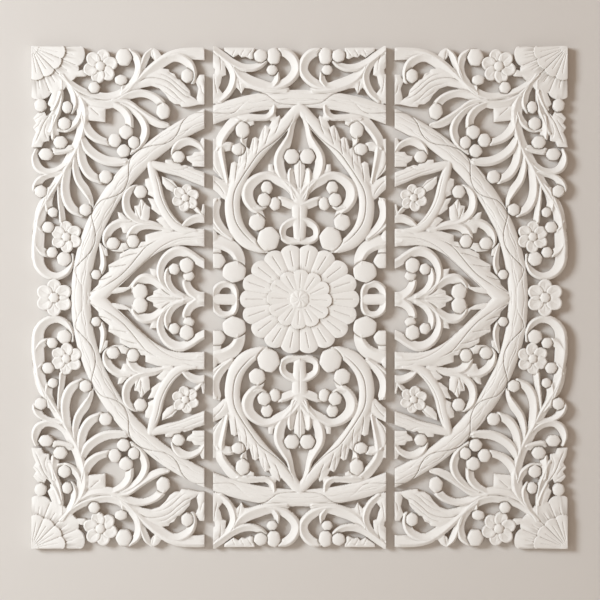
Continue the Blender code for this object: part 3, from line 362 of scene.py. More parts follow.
# flower by the fan, its buds
flower(199, 231, 17, 6, 105)
berry(205.3, 209.7, 5.6)
stem((176, 206, 5), (175.5, 213, 5.5))
berry(178.5, 217.3, 6.2, 5)
stem((147.5, 247.5, 4), (153, 241, 6.5), (157, 231, 6.5), (162, 219, 5.5))
leaf((137.5, 241), (141, 246.5), (146, 249.5), (148.5, 247), (148, 240.5), (144, 236))
# big acanthus leaf and the stem over it
stem((90, 243.3, 12.5), (104, 243.8, 12), (118, 243.5, 11), (130, 240, 11), (142, 232, 11),
     (153, 222, 11), (164, 211.5, 11), (176, 203, 9))
stem((132, 239, 8), (121, 240, 9), (111, 234.5, 9), (107, 226, 8.5), (107, 217, 7))
berry(112.3, 221.3, 6, 6.8)
leaf((152, 226), (138, 229), (131, 228), (129.5, 225), (125, 223.5), (122.5, 218.3),
     (118.5, 217.3), (115, 213), (110, 207), (108.8, 201.5), (104, 198.5), (99, 193.3),
     (111, 190.7), (118, 190.3), (119.5, 193), (125, 193.3), (130, 197), (134, 203), (140, 208.8),
     (148, 211.5), (158, 209.5), (170, 206), (166, 215))
leaf((90, 223), (100, 222.5), (104, 216), (101, 208.5), (103, 199), (100, 193), (90, 193))
# webs where two strokes meet and leave no opening
leaf((124, 69), (128, 64), (136, 65), (138.5, 68.5), (136, 71.5), (128, 71))
leaf((200, 197), (208, 195), (217, 199), (216, 204), (206, 203))
leaf((76, 195), (84, 193.5), (90, 196), (90, 200), (84, 202), (77, 202))
# carved lines: the vine that winds along the ring
cut((-2, 192.2), (10.5, 192.7), (21.3, 194.3), (28, 198.8), (33.8, 203), (42, 204.5),
    wide=1.6, deep=0.27)
cut((50, 197.5), (55.5, 193.8), (63, 186.3), (69.7, 183.8), (85.5, 184.2), (105, 184.5),
    (113, 179.7), (118, 173), (121.3, 164.7), (127.2, 157.2), (136.3, 153), (150, 151),
    (162.3, 146.3), (169.8, 136.3), (170.7, 120), (174.3, 109.5), (180.7, 102.8), (189, 99.5),
    (197.3, 97), (204, 90.3), (207.7, 82.8), (206.5, 76.2), (204, 66.2), (204, 57.8),
    (206.5, 49.5), (212.3, 41.2), (219, 34.5), (224, 27.8), (220.7, 17.8), (217.3, 11.2),
    (214.8, -3.8), wide=1.6, deep=0.30)
# pointed arch of the middle board: its long line and the lines between lobes
cut((5.5, 181.3), (8, 174.7), (16.3, 163.8), (26.3, 154.7), (39.7, 144.7), (49.7, 131.3),
    (57.5, 119.5), (64, 107.8), (66.3, 96.2), (65, 80.5), (59.7, 68.8), (49, 57), (40, 51),
    wide=1.7, deep=0.30)
cut((18.8, 181.3), (21.3, 171.3), (24.7, 163))
cut((28.8, 169.7), (32.2, 159.7), (34.5, 152))
cut((41, 158), (41.7, 149.7), (43.5, 142))
cut((53, 149.7), (53, 136.3), (55, 127))
cut((62, 134), (63.5, 124), (64.5, 115))
cut((34.5, 172), (36, 163), (36.5, 156), deep=0.14)
cut((45, 160), (46.5, 150), (47, 143), deep=0.14)
cut((57, 150), (58, 142), (59, 134), deep=0.14)
# side arch: long line and lobes
cut((90, 60.5), (110, 60), (124, 57.5), (138, 50.5), (150, 40), (163, 28), (177, 15.5), (192, 2),
    deep=0.20)
cut((140, 58), (152, 51.5), (161, 41.5), (170, 30.5), (181, 20), (205, 4.5), wide=1.6, deep=0.27)
cut((150, 53), (158, 50.5), (166, 49.5))
cut((160, 44.5), (170, 42.5), (180.5, 38.7))
cut((171, 33), (182, 31.2), (191.5, 30.3))
cut((186, 21.8), (194, 18.7), (200.5, 17.5))
cut((196, 12), (203, 8), (209, 5), deep=0.17)
# small arch with the flower
cut((112, 68.5), (124, 76), (133, 88), (138.5, 101), (141.5, 114), (144.5, 124), deep=0.20)
cut((95, 115), (108, 119), (122, 124.5), (138, 129), deep=0.20)
cut((95, 119.5), (106, 124), (118, 129), deep=0.14)
cut((110, 131), (118, 127.5), (127, 128.5), deep=0.17)
# leaves
cut((103, 198), (113, 201), (121, 207), (130, 215), (141, 219), (153, 219), (162, 214),
    wide=1.6, deep=0.22)
cut((112, 193.5), (120, 199), (127, 206), (136, 211.5), (148, 214.5), wide=1.4, deep=0.18)
cut((108, 203), (116, 208), (124, 215), (133, 221.5), (143, 224), wide=1.4, deep=0.18)
cut((116, 214), (124, 220), (132, 225.5), deep=0.14)
cut((121, 196), (128, 201), (136, 206.5), deep=0.14)
cut((264.5, 153), (260, 163), (256, 173), (251, 181), (246, 190), wide=1.6, deep=0.22)
cut((252, 158), (254.5, 166), (252, 174), deep=0.14)
cut((265.5, 168), (261, 172), (257, 178), deep=0.14)
cut((265, 177), (260, 180), (255, 184), deep=0.14)
cut((154, 97), (156.5, 90), (158.5, 80), deep=0.18)
cut((159.5, 98), (158.5, 90), (158.5, 80), deep=0.18)
cut((164, 90), (162, 84), (159.5, 78), deep=0.18)
cut((153, -1), (143, -0.5), (132, -0.8), (124, -1), deep=0.22)
cut((138, 8.5), (134, 5), (128, 1.5), deep=0.18)
cut((146, 5), (140, 3.5), (133, 1.5), deep=0.16)
cut((0, 146), (0, 130), (0, 116), (0, 103), wide=1.6, deep=0.22)
cut((6, 127), (4.5, 119), (2, 108), deep=0.20)
cut((136, 120), (128, 114.5), (121, 108), deep=0.20)
cut((47, 248), (50, 244), (52, 241), deep=0.17)
cut((55, 248), (57.5, 244), (58.5, 241.5), deep=0.17)
cut((64, 247.5), (66, 244), (67, 241.5), deep=0.17)
cut((58.5, 204.5), (59.5, 210), (61, 217), deep=0.17)
cut((93, 76), (96, 84), (95, 92), deep=0.17)
cut((92, 136), (99, 136.5), (106, 136), deep=0.17)
cut((92, 141), (99, 141.5), (106, 139.5), deep=0.17)
cut((92, 200), (97, 205), (99, 213), deep=0.17)
cut((92, 208), (95, 213), (96, 220), deep=0.17)
cut((85, 148), (87, 138), (84, 128), (79, 121), deep=0.17)
cut((87, 118), (80, 111), (74, 102), deep=0.17)
cut((81, 243), (79, 236), (78.5, 226), deep=0.18)
cut((85, 221), (84, 212), (82, 203), deep=0.18)
cut((209, 190), (199.5, 181.5), deep=0.21)
cut((196, 53), (194.3, 47.5), deep=0.14)
cut((105, 57), (116, 57), (127, 53.5), deep=0.13)
cut((98, 66), (108, 65), (116, 62.5), deep=0.13)
cut((0, 92), (0, 80), (0, 66), deep=0.13)
cut((147, 247), (146, 241), (145, 237), deep=0.14)


def smooth_run(points, per_span=6):
    """A smooth line through the points, the width carried along with it."""
    run = np.array(points, float)
    run = np.vstack([2 * run[0] - run[1], run, 2 * run[-1] - run[-2]])
    out = []
    for i in range(1, len(run) - 2):
        a, b, c, d = run[i - 1], run[i], run[i + 1], run[i + 2]
        for t in np.linspace(0, 1, per_span, endpoint=False):
            bend = (2 * a - 5 * b + 4 * c - d) * t * t
            twist = (3 * b - a - 3 * c + d) * t ** 3
            out.append(0.5 * (2 * b + (c - a) * t + bend + twist))
    out.append(run[-2])
    return np.array(out)


def leaf_distance(x, y, outline):
    """Distance to the outline, positive inside it."""
    nearest = np.full(x.shape, 1e9)
    inside = np.zeros(x.shape, bool)
    for i in range(len(outline)):
        a = outline[i]
        b = outline[(i + 1) % len(outline)]
        run = b - a
        length = run @ run
        if length < 1e-9:
            continue
        t = np.clip(((x - a[0]) * run[0] + (y - a[1]) * run[1]) / length, 0, 1)
        dx = x - a[0] - t * run[0]
        dy = y - a[1] - t * run[1]
        nearest = np.minimum(nearest, dx * dx + dy * dy)
        if a[1] != b[1]:
            crossing = (a[1] > y) != (b[1] > y)
            inside ^= crossing & (x < run[0] * (y - a[1]) / run[1] + a[0])
    return np.where(inside, 1, -1) * np.sqrt(nearest)


def dome(ratio):
    return np.sqrt(np.clip(1 - ratio ** 2, 0, 1))


def scratch(away, wide):
    """Section of a line cut with a V tool, 1 at its bottom, 0 at its edges."""
    return np.clip(1 - np.abs(away) / (0.5 * wide), 0, 1)


def softened(grid, passes):
    """The grid with its sharpest steps taken off, as by sanding and paint."""
    for _ in range(passes):
        padded = np.pad(grid, 1, mode="edge")
        cross = padded[:-2, 1:-1] + padded[2:, 1:-1] + padded[1:-1, :-2] + padded[1:-1, 2:]
        grid = 0.5 * grid + 0.125 * cross
    return grid


def spread(grid, sure, passes):
    """Carries the grid's sure values outward, one square at each pass."""
    grid = np.where(sure, grid, 0.0)
    share = sure.astype(float)
    for _ in range(passes):
        total = np.zeros(grid.shape)
        count = np.zeros(grid.shape)
        for down, right in ((1, 0), (-1, 0), (0, 1), (0, -1)):
            total += np.roll(grid * share, (down, right), (0, 1))
            count += np.roll(share, (down, right), (0, 1))
        fresh = (share == 0) & (count > 0)
        grid = np.where(fresh, total / np.maximum(count, 1), grid)
        share = np.where(fresh, 1.0, share)
    return grid


class Carving:
    """Height and outline of the carving over a grid of the squared sheet.

    edge is the distance to the outline, positive in the wood. high runs from
    0 at the rim of the strokes to 1 at the highest carving.
    """

    def __init__(self, u_line, v_line, step):
        self.u, self.v = np.meshgrid(u_line, v_line)
        self.u_line = u_line
        self.v_line = v_line
        self.step = step
        self.edge = np.full(self.u.shape, NO_WOOD)
        self.high = np.zeros(self.u.shape)

    def window(self, u0, v0, u1, v1):
        """The part of the grid that holds a box, with a little round it."""
        pad = 2.0
        i = np.searchsorted(self.v_line, [v0 - pad, v1 + pad])
        j = np.searchsorted(self.u_line, [u0 - pad, u1 + pad])
        return slice(i[0], i[1]), slice(j[0], j[1])

    def put(self, at, edge, high):
        """Lays a stroke down; the higher of two strokes shows."""
        self.edge[at] = np.maximum(self.edge[at], edge)
        self.high[at] = np.where(edge >= 0, np.maximum(self.high[at], high), self.high[at])

    def engrave(self, at, deep):
        """Cuts a line into what lies there."""
        self.high[at] = np.maximum(self.high[at] - deep, LOWEST_LINE)

    def along(self, points, reach):
        """The nearest place on a run, for each grid point near it: the window,
        the distance in half widths, the half width, the side, the share of the
        way, and the run. None where the run lies off the grid."""
        run = smooth_run(points)
        low = run.min(0)
        top = run.max(0)
        at = self.window(low[0] - reach, low[1] - reach, top[0] + reach, top[1] + reach)
        x = self.u[at]
        y = self.v[at]
        if x.size == 0:
            return None
        best = np.full(x.shape, 1e9)
        half = np.ones(x.shape)
        side = np.zeros(x.shape)
        way = np.zeros(x.shape)
        for n, (a, b) in enumerate(zip(run[:-1], run[1:])):
            step = b[:2] - a[:2]
            length = step @ step
            if length < 1e-9:
                continue
            t = np.clip(((x - a[0]) * step[0] + (y - a[1]) * step[1]) / length, 0, 1)
            dx = x - a[0] - t * step[0]
            dy = y - a[1] - t * step[1]
            away = np.sqrt(dx * dx + dy * dy)
            wide = 1.0
            if len(a) > 2:
                wide = np.maximum((a[2] + t * (b[2] - a[2])) / 2, 0.01)
            nearer = away / wide < best
            best = np.where(nearer, away / wide, best)
            half = np.where(nearer, wide, half)
            side = np.where(nearer, np.sign(step[0] * dy - step[1] * dx), side)
            way = np.where(nearer, (n + t) / (len(run) - 1), way)
        return at, best, half, side, way, run

    def stem(self, points, side=0, kind="stem"):
        found = self.along(points, max(p[2] for p in points) / 2)
        if found is None:
            return
        at, ratio, half, hand, _, run = found
        steps = np.diff(run[:, :2], axis=0)
        turn = steps[:-1, 0] * steps[1:, 1] - steps[:-1, 1] * steps[1:, 0]
        side = side or (1 if turn.sum() >= 0 else -1)
        across = ratio * hand * side
        edge = (1 - ratio) * half
        if kind == "band":
            high = 0.42 + 0.40 * (1 - np.abs(across) ** 3)
        else:
            # a ridge near the outer side, steep outside and hollow inside
            out = np.clip((across + 1) / 0.55, 0, 1)
            inn = np.clip((1 - across) / 1.45, 0, 1)
            ridge = np.where(across < -0.45, 0.46 + 0.43 * out, 0.34 + 0.55 * inn ** 1.4)
            high = ridge * np.clip(half / 3.2, 0.65, 1)
        self.put(at, edge, np.clip(high, 0, 1))

    def berry(self, u, v, half_wide, half_high, low=0.56, top=0.97, parting=0.36):
        at = self.window(u - half_wide, v - half_high, u + half_wide, v + half_high)
        x = (self.u[at] - u) / half_wide
        y = (self.v[at] - v) / half_high
        # six chisel flats, turned a little differently on each berry
        first = math.radians((u * 7 + v * 13) % 60)
        turns = [first + k * math.pi / 3 for k in range(6)]
        flats = [x * math.cos(turn) + y * math.sin(turn) for turn in turns]
        flat = np.max(flats, axis=0) if x.size else x
        ratio = 0.5 * np.hypot(x, y) + 0.53 * flat
        edge = (1 - ratio) * min(half_wide, half_high)
        # a cut runs round it and sets it off from the strokes it sits on
        self.engrave(at, parting * np.clip(1 - np.abs(edge + 0.5) / 1.4, 0, 1))
        self.put(at, edge, low + (top - low) * dome(ratio))

    def leaf(self, points):
        outline = np.array(points, float)
        low = outline.min(0)
        top = outline.max(0)
        at = self.window(low[0], low[1], top[0], top[1])
        if self.u[at].size:
            edge = leaf_distance(self.u[at], self.v[at], outline)
            self.put(at, edge, 0.40 + 0.22 * np.clip(edge / 4.5, 0, 1))

    def flower(self, u, v, size, petals, first):
        for i in range(petals):
            turn = math.radians(first + 360.0 * i / petals)
            along = size * 0.44
            aside = size * 0.395
            cu = u + 0.58 * size * math.cos(turn)
            cv = v + 0.58 * size * math.sin(turn)
            at = self.window(cu - along, cv - along, cu + along, cv + along)
            dx = self.u[at] - cu
            dy = self.v[at] - cv
            a = (dx * math.cos(turn) + dy * math.sin(turn)) / along
            b = (dy * math.cos(turn) - dx * math.sin(turn)) / aside
            ratio = np.hypot(a, b)
            # a petal is a shallow cup: its lip is high, its middle dips
            self.engrave(at, 0.14 * np.clip(1 - np.abs((1 - ratio) * aside + 0.3) / 1.0, 0, 1))
            cup = 0.56 + 0.12 * np.clip((1 - ratio) / 0.2, 0, 1) - 0.15 * dome(ratio / 0.8)
            cup -= 0.08 * scratch(b * aside, 1.2) * (np.abs(a + 0.1) < 0.6)
            self.put(at, (1 - ratio) * aside, np.clip(cup, 0, 1))
        self.berry(u, v, size * 0.27, size * 0.27, 0.6, 0.95, 0.12)

    def cut(self, points, wide, deep):
        found = self.along(points, wide)
        if found is None:
            return
        at, ratio, _, _, way, _ = found
        fade = np.clip(np.minimum(way, 1 - way) * 8, 0.25, 1)
        self.engrave(at, deep * fade * scratch(ratio, wide))

    def ring(self, inner_u, inner_v, outer_u, outer_v):
        turn = np.arctan2(self.v, self.u)
        inner = 1 / np.hypot(np.cos(turn) / inner_u, np.sin(turn) / inner_v)
        outer = 1 / np.hypot(np.cos(turn) / outer_u, np.sin(turn) / outer_v)
        across = 2 * (np.hypot(self.u, self.v) - inner) / (outer - inner) - 1
        edge = (1 - np.abs(across)) * (outer - inner) / 2
        self.put(slice(None), edge, 0.34 + 0.52 * (1 - np.abs(across) ** 2.4))

    def bark(self, inner_u, inner_v, outer_u, outer_v):
        """Short curved lines along the ring, as on a twined stem."""
        count, wide, deep = BARK
        for k in range(count):
            # uneven fractions scatter the lines, the same way each time
            turn = 0.5 * math.pi * ((k * 0.618034) % 1.0)
            lane = ((k * 0.381966 * 2.3) % 1.0) * 1.5 - 0.75
            span = math.radians(2.2 + 2.4 * ((k * 0.7548) % 1.0))
            points = []
            for t in np.linspace(-1, 1, 5):
                a = turn + t * span
                share = 0.5 + 0.5 * (lane + 0.07 * math.sin(3 * t + k))
                inner = 1 / math.hypot(math.cos(a) / inner_u, math.sin(a) / inner_v)
                outer = 1 / math.hypot(math.cos(a) / outer_u, math.sin(a) / outer_v)
                r = inner + share * (outer - inner)
                points.append((r * math.cos(a), r * math.sin(a)))
            self.cut(points, wide, deep)

    def rosette(self, squash, outer, inner, boss, petals, tilt):
        up = (self.v + ROSETTE_DROP) / squash
        away = np.hypot(self.u, up)
        turn = np.arctan2(up, self.u) / (2 * math.pi) + tilt / 360.0
        # outer petals, each with one long line down its middle
        lobe = np.abs(np.sin(math.pi * petals * turn))
        middle = ((petals * turn) % 1.0 - 0.5) * 2 * math.pi * away / petals
        long = (away > 1.12 * inner) & (away < 0.90 * outer)
        petal = 0.24 + 0.27 * lobe ** 0.35 + 0.12 * np.clip(away / outer, 0, 1) ** 2
        petal -= 0.2 * scratch(middle, 1.4) * long
        self.put(slice(None), outer * (0.905 + 0.09 * lobe ** 0.6) - away, petal)
        # inner petals, on top of them
        count, first = INNER_TIER
        lobe = np.abs(np.sin(math.pi * count * turn + first))
        middle = ((count * turn + first / math.pi) % 1.0 - 0.5) * 2 * math.pi * away / count
        long = (away > 1.3 * boss) & (away < 0.86 * inner)
        petal = 0.66 + 0.20 * np.clip(away / inner, 0, 1) ** 1.5 * lobe ** 0.4
        petal -= 0.17 * scratch(middle, 1.3) * long
        self.put(slice(None), inner * (0.86 + 0.14 * lobe ** 0.5) - away, petal)
        # the boss, with nine curled ribs
        ribs = 0.12 * np.abs(np.sin(math.pi * 9 * turn + 0.2 * away))
        button = 0.72 + ribs * dome(away / boss - 0.1) + 0.16 * dome(away / boss)
        self.put(slice(None), boss - away, button)

    def fan(self, u, v, inner, outer, lobes):
        dx = u - self.u
        dy = v - self.v
        away = np.hypot(dx, dy)
        turn = np.arctan2(dy, dx) / (0.5 * math.pi)
        lobe = np.abs(np.sin(math.pi * lobes * turn))
        there = (self.u > u - outer - 6) & (self.v > v - outer - 6)
        for size, low, top in ((outer, 0.30, 0.48), (inner, 0.58, 0.82)):
            reach = size * (0.92 + 0.08 * lobe ** 0.5)
            edge = np.where(there, reach - away, NO_WOOD)
            high = low + (top - low) * lobe ** 0.4 * np.clip(away / size, 0.3, 1)
            # one line beside each lobe and a shorter one down its middle
            for share in (0.02, 0.5):
                off = ((lobes * turn) % 1.0 - share) * 0.5 * math.pi * away / lobes
                long = (away > 0.22 * size) & (away < (0.90 - 0.2 * share) * size)
                high = high - 0.15 * scratch(off, 1.4) * long
            self.put(slice(None), edge, high)

    def carve(self):
        """Strokes first, then what lies on them, and the carved lines last."""
        for kind, data, more in PATTERN:
            if kind == "stem":
                self.stem(data, **more)
            elif kind == "leaf":
                self.leaf(data)
        self.ring(*RING)
        for kind, data, more in PATTERN:
            if kind == "berry":
                self.berry(*data)
            elif kind == "flower":
                self.flower(*data)
        self.fan(*FAN)
        for kind, data, more in PATTERN:
            if kind == "cut":
                self.cut(data, **more)
        self.bark(*RING)


def sample(field, grid, u, v):
    """Value of a grid of the field at places between its nodes."""
    x = np.clip((u - field.u_line[0]) / field.step, 0, len(field.u_line) - 1.001)
    y = np.clip((v - field.v_line[0]) / field.step, 0, len(field.v_line) - 1.001)
    j = x.astype(int)
    i = y.astype(int)
    x = x - j
    y = y - i
    low = grid[i, j] * (1 - x) + grid[i, j + 1] * x
    top = grid[i + 1, j] * (1 - x) + grid[i + 1, j + 1] * x
    return low * (1 - y) + top * y


def take_mirrored(quarter, field):
    """Mirror the quarter to all four, the lower two drifted as on the real set."""
    s = np.abs(field.u)
    lean = 1 - s / DRIFT_REACH
    below = -field.v
    lowered = below - (DRIFT - DRIFT_BEND * below ** 2) * lean
    t = np.where(field.v > -0.5 * DRIFT * lean, field.v, lowered)
    field.edge = sample(quarter, quarter.edge, s, t)
    field.high = sample(quarter, quarter.high, s, t)


def board_field(quarter, u_low, u_high):
    """Outline distance, height and painted recess shade over one board."""
    step = quarter.step
    half = SHEET_HIGH / 2
    columns = np.arange(math.floor(u_low / step) - 2, math.ceil(u_high / step) + 3)
    rows = np.arange(-math.ceil(half / step) - 2, math.ceil(half / step) + 3)
    field = Carving(columns * step, rows * step, step)
    take_mirrored(quarter, field)
    field.rosette(*ROSETTE)
    beside = np.minimum(field.u - u_low, u_high - field.u)
    field.high = spread(field.high, field.edge >= 0, 4)
    field.edge = np.minimum(field.edge, np.minimum(beside, half - np.abs(field.v)))
    # painted shade: what lies lower than its surroundings is darkened, in place of the shade that
    # falls in the hollows
    around = softened(field.high, 40)
    field.recess = np.clip(LEVEL + 2.6 * (around - field.high), 0, 1)
    return field


def sawn_sheet(field, scale_u, scale_v):
    """A flat sheet with the openings sawn out, its rim on the outline."""
    rows, columns = field.edge.shape

    def square(vert):
        """Column and row of the field that a corner of the sheet lies on."""
        return (round((vert.co.x + 1) / 2 * (columns - 1)),
                round((vert.co.y + 1) / 2 * (rows - 1)))

    bm = bmesh.new()
    bmesh.ops.create_grid(bm, x_segments=columns - 1, y_segments=rows - 1, size=1.0)
    edge = field.edge
    wood = edge[:-1, :-1] + edge[1:, :-1] + edge[:-1, 1:] + edge[1:, 1:] > 0
    # squares that meet only at a corner get a third one between them
    slash = wood[:-1, :-1] & wood[1:, 1:] & ~wood[:-1, 1:] & ~wood[1:, :-1]
    back = ~wood[:-1, :-1] & ~wood[1:, 1:] & wood[:-1, 1:] & wood[1:, :-1]
    wood[:-1, 1:] |= slash
    wood[:-1, :-1] |= back
    doomed = []
    for face in bm.faces:
        j, i = square(min(face.verts, key=lambda q: q.co.x + q.co.y))
        if not wood[i, j]:
            doomed.append(face)
    for vert in bm.verts:
        j, i = square(vert)
        vert.co = (field.u_line[j], 0.0, field.v_line[i])
    bmesh.ops.delete(bm, geom=doomed, context="FACES")
    # the rim moves to the drawn outline, by less than a square's side
    rim = [vert for vert in bm.verts if vert.is_boundary]
    x = np.array([vert.co.x for vert in rim])
    y = np.array([vert.co.z for vert in rim])
    slope_v, slope_u = np.gradient(field.edge, field.step)
    x0 = x.copy()
    y0 = y.copy()
    for _ in range(3):
        d = sample(field, field.edge, x, y)
        gu = sample(field, slope_u, x, y)
        gv = sample(field, slope_v, x, y)
        size = np.maximum(gu * gu + gv * gv, 0.3)
        x = x - d * gu / size
        y = y - d * gv / size
        far = np.hypot(x - x0, y - y0)
        pull = np.minimum(1, RIM_REACH * field.step / np.maximum(far, 1e-9))
        x = x0 + (x - x0) * pull
        y = y0 + (y - y0) * pull
    for vert, a, b in zip(rim, x, y):
        vert.co = (a, 0.0, b)
    rise = bm.verts.layers.float.new("rise")
    a = np.array([vert.co.x for vert in bm.verts])
    b = np.array([vert.co.z for vert in bm.verts])
    high = sample(field, field.high, a, b)
    edge = sample(field, field.edge, a, b)
    high = np.where(edge < 0.3 * field.step, high - RIM_WEAR, high)
    for vert, h in zip(bm.verts, high):
        vert[rise] = h
        vert.co.x *= scale_u
        vert.co.z *= scale_v
    return bm, rise


def carved_board(name, field, scale_u, scale_v, thick, deep, most):
    """The board drawn out of its sheet, carved, and thinned to its facets."""
    bm, rise = sawn_sheet(field, scale_u, scale_v)
    sheet = list(bm.faces)
    grown = bmesh.ops.extrude_face_region(bm, geom=sheet, use_keep_orig=True)
    for item in grown["geom"]:
        if isinstance(item, bmesh.types.BMVert):
            item.co.y = -(thick - deep * (1 - item[rise]))
    bmesh.ops.recalc_face_normals(bm, faces=list(bm.faces))
    if bm.calc_volume(signed=True) < 0:
        bmesh.ops.reverse_faces(bm, faces=list(bm.faces))
    mesh = bpy.data.meshes.new(name)
    bm.to_mesh(mesh)
    bm.free()
    board = bpy.data.objects.new(name, mesh)
    bpy.context.scene.collection.objects.link(board)
    mesh.calc_loop_triangles()
    thin = board.modifiers.new("facets", "DECIMATE")
    thin.ratio = min(1.0, most / len(mesh.loop_triangles))
    seen = board.evaluated_get(bpy.context.evaluated_depsgraph_get())
    fine = bpy.data.meshes.new_from_object(seen)
    board.modifiers.clear()
    board.data = fine
    bpy.data.meshes.remove(mesh)
    fine.name = name
    fine.shade_smooth()
    fine.set_sharp_from_angle(angle=math.radians(SHARP_EDGE))
    spot = np.empty(len(fine.vertices) * 3)
    fine.vertices.foreach_get("co", spot)
    spot = spot.reshape(-1, 3)
    shade = sample(field, field.recess, spot[:, 0] / scale_u, spot[:, 2] / scale_v)
    # only the carved front gets painted recess shade; the back and the deep ends of the sides stay
    # level
    shade = np.where(spot[:, 1] > -0.4 * thick, LEVEL, shade)
    recess = fine.attributes.new("recess", "FLOAT", "POINT")
    recess.data.foreach_set("value", shade.astype(np.float32))
    return board


def hex_colour(text):
    """sRGB hex to the linear colour that the shaders take."""
    linear = []
    for k in (1, 3, 5):
        c = int(text[k:k + 2], 16) / 255
        linear.append(c / 12.92 if c <= 0.04045 else ((c + 0.055) / 1.055) ** 2.4)
    return (*linear, 1.0)


def add_node(tree, kind, settings=None, values=None, links=None):
    """Adds a node, sets it, and links sockets into its inputs."""
    node = tree.nodes.new(kind)
    for key, value in (settings or {}).items():
        setattr(node, key, value)
    for key, value in (values or {}).items():
        node.inputs[key].default_value = value
    for key, socket in (links or {}).items():
        tree.links.new(socket, node.inputs[key])
    return node


def painted_carving(colours):
    """Matt white emulsion brushed over carved softwood. The paint is a little
    uneven: the grain shows through as faint upright ridges and the brush left
    soft lumps. A warm grey is painted into the recesses as painted shade,
    standing in for the shade that falls in them."""
    material = bpy.data.materials.new(PAINT_NAME)
    material.use_nodes = True
    tree = material.node_tree
    shader = tree.nodes["Principled BSDF"]
    place = add_node(tree, "ShaderNodeTexCoord")
    on_board = {"Vector": place.outputs["Object"]}
    # wood grain runs up the boards: lines about 3 mm apart, 60 mm long
    grain_place = add_node(tree, "ShaderNodeMapping",
                           values={"Scale": (330.0, 330.0, 16.0)}, links=on_board)
    grain = add_node(tree, "ShaderNodeTexNoise",
                     values={"Scale": 1.0, "Detail": 3.0, "Roughness": 0.6},
                     links={"Vector": grain_place.outputs["Vector"]})
    # paint texture: soft lumps about 2.5 mm across, coarser than a real brush
    # leaves them, so that they show
    lumps = add_node(tree, "ShaderNodeTexNoise",
                     values={"Scale": 400.0, "Detail": 2.0, "Roughness": 0.5}, links=on_board)
    # broad unevenness of the coat, about 60 mm across
    cloud = add_node(tree, "ShaderNodeTexNoise",
                     values={"Scale": 17.0, "Detail": 3.0, "Roughness": 0.55}, links=on_board)
    # painted shade: the recess value darkens the coat towards a warm grey in the hollows
    recess = add_node(tree, "ShaderNodeAttribute", {"attribute_name": "recess"})
    recess_shade_amount = add_node(tree, "ShaderNodeMapRange",
                    values={"From Min": 0.6, "From Max": 1.0, "To Min": 0.0, "To Max": 0.9},
                    links={"Value": recess.outputs["Fac"]})
    coat = add_node(tree, "ShaderNodeMix", {"data_type": "RGBA"},
                    {6: hex_colour(colours.paint_hex), 7: hex_colour(colours.thin_hex)},
                    {0: cloud.outputs["Fac"]})
    recess_shaded_coat = add_node(tree, "ShaderNodeMix", {"data_type": "RGBA"},
                       {7: hex_colour(colours.recess_shade_hex)},
                       {0: recess_shade_amount.outputs["Result"], 6: coat.outputs[2]})
    # the sawn sides darken towards the backs: partly paint that went on from the front and thins
    # out down them, partly painted shade deep in the openings
    depth = add_node(tree, "ShaderNodeSeparateXYZ", links=on_board)
    bare_and_shaded = add_node(tree, "ShaderNodeMapRange",
                    values={"From Min": -WHOLE_COAT_UNSHADED, "From Max": -THIN_COAT_SHADED,
                            "To Min": 0.0, "To Max": 0.85},
                    links={"Value": depth.outputs["Y"]})
    streaks = add_node(tree, "ShaderNodeMix", {"data_type": "RGBA"},
                       {6: hex_colour(colours.bare_and_shaded_side_hex), 7: hex_colour(colours.grain_hex)},
                       {0: grain.outputs["Fac"]})
    colour = add_node(tree, "ShaderNodeMix", {"data_type": "RGBA"}, {},
                      {0: bare_and_shaded.outputs["Result"], 6: recess_shaded_coat.outputs[2], 7: streaks.outputs[2]})
    tree.links.new(colour.outputs[2], shader.inputs["Base Color"])
    dull = add_node(tree, "ShaderNodeMapRange",
                    values={"From Min": 0.3, "From Max": 0.7, "To Min": 0.5, "To Max": 0.66},
                    links={"Value": lumps.outputs["Fac"]})
    tree.links.new(dull.outputs["Result"], shader.inputs["Roughness"])
    ridges = add_node(tree, "ShaderNodeBump", values={"Strength": 0.25, "Distance": 0.0004},
                      links={"Height": grain.outputs["Fac"]})
    skin = add_node(tree, "ShaderNodeBump", values={"Strength": 0.2, "Distance": 0.0003},
                    links={"Height": lumps.outputs["Fac"], "Normal": ridges.outputs["Normal"]})
    tree.links.new(skin.outputs["Normal"], shader.inputs["Normal"])
    shader.inputs["IOR"].default_value = 1.47
    return material


def plain_plaster(name, hex_text, clear_from_behind):
    """Smooth wall paint. The wall is one-sided: seen from behind it is clear,
    so that it doesn't hide the backs of the boards. The floor isn't."""
    material = bpy.data.materials.new(name)
    material.use_nodes = True
    tree = material.node_tree
    shader = tree.nodes["Principled BSDF"]
    shader.inputs["Base Color"].default_value = hex_colour(hex_text)
    shader.inputs["Roughness"].default_value = 0.85
    if clear_from_behind:
        side = add_node(tree, "ShaderNodeNewGeometry")
        path = add_node(tree, "ShaderNodeLightPath")
        # nor does it shade the backs, which lie close in front of it
        close = add_node(tree, "ShaderNodeMath", {"operation": "LESS_THAN"}, {1: CLEAR_REACH},
                         {0: path.outputs["Ray Length"]})
        open_side = add_node(tree, "ShaderNodeMath", {"operation": "MAXIMUM"},
                             links={0: side.outputs["Backfacing"], 1: close.outputs["Value"]})
        clear = add_node(tree, "ShaderNodeBsdfTransparent")
        mix = add_node(tree, "ShaderNodeMixShader",
                       links={0: open_side.outputs["Value"], 1: shader.outputs["BSDF"],
                              2: clear.outputs["BSDF"]})
        output = tree.nodes["Material Output"]
        tree.links.new(mix.outputs["Shader"], output.inputs["Surface"])
    return material


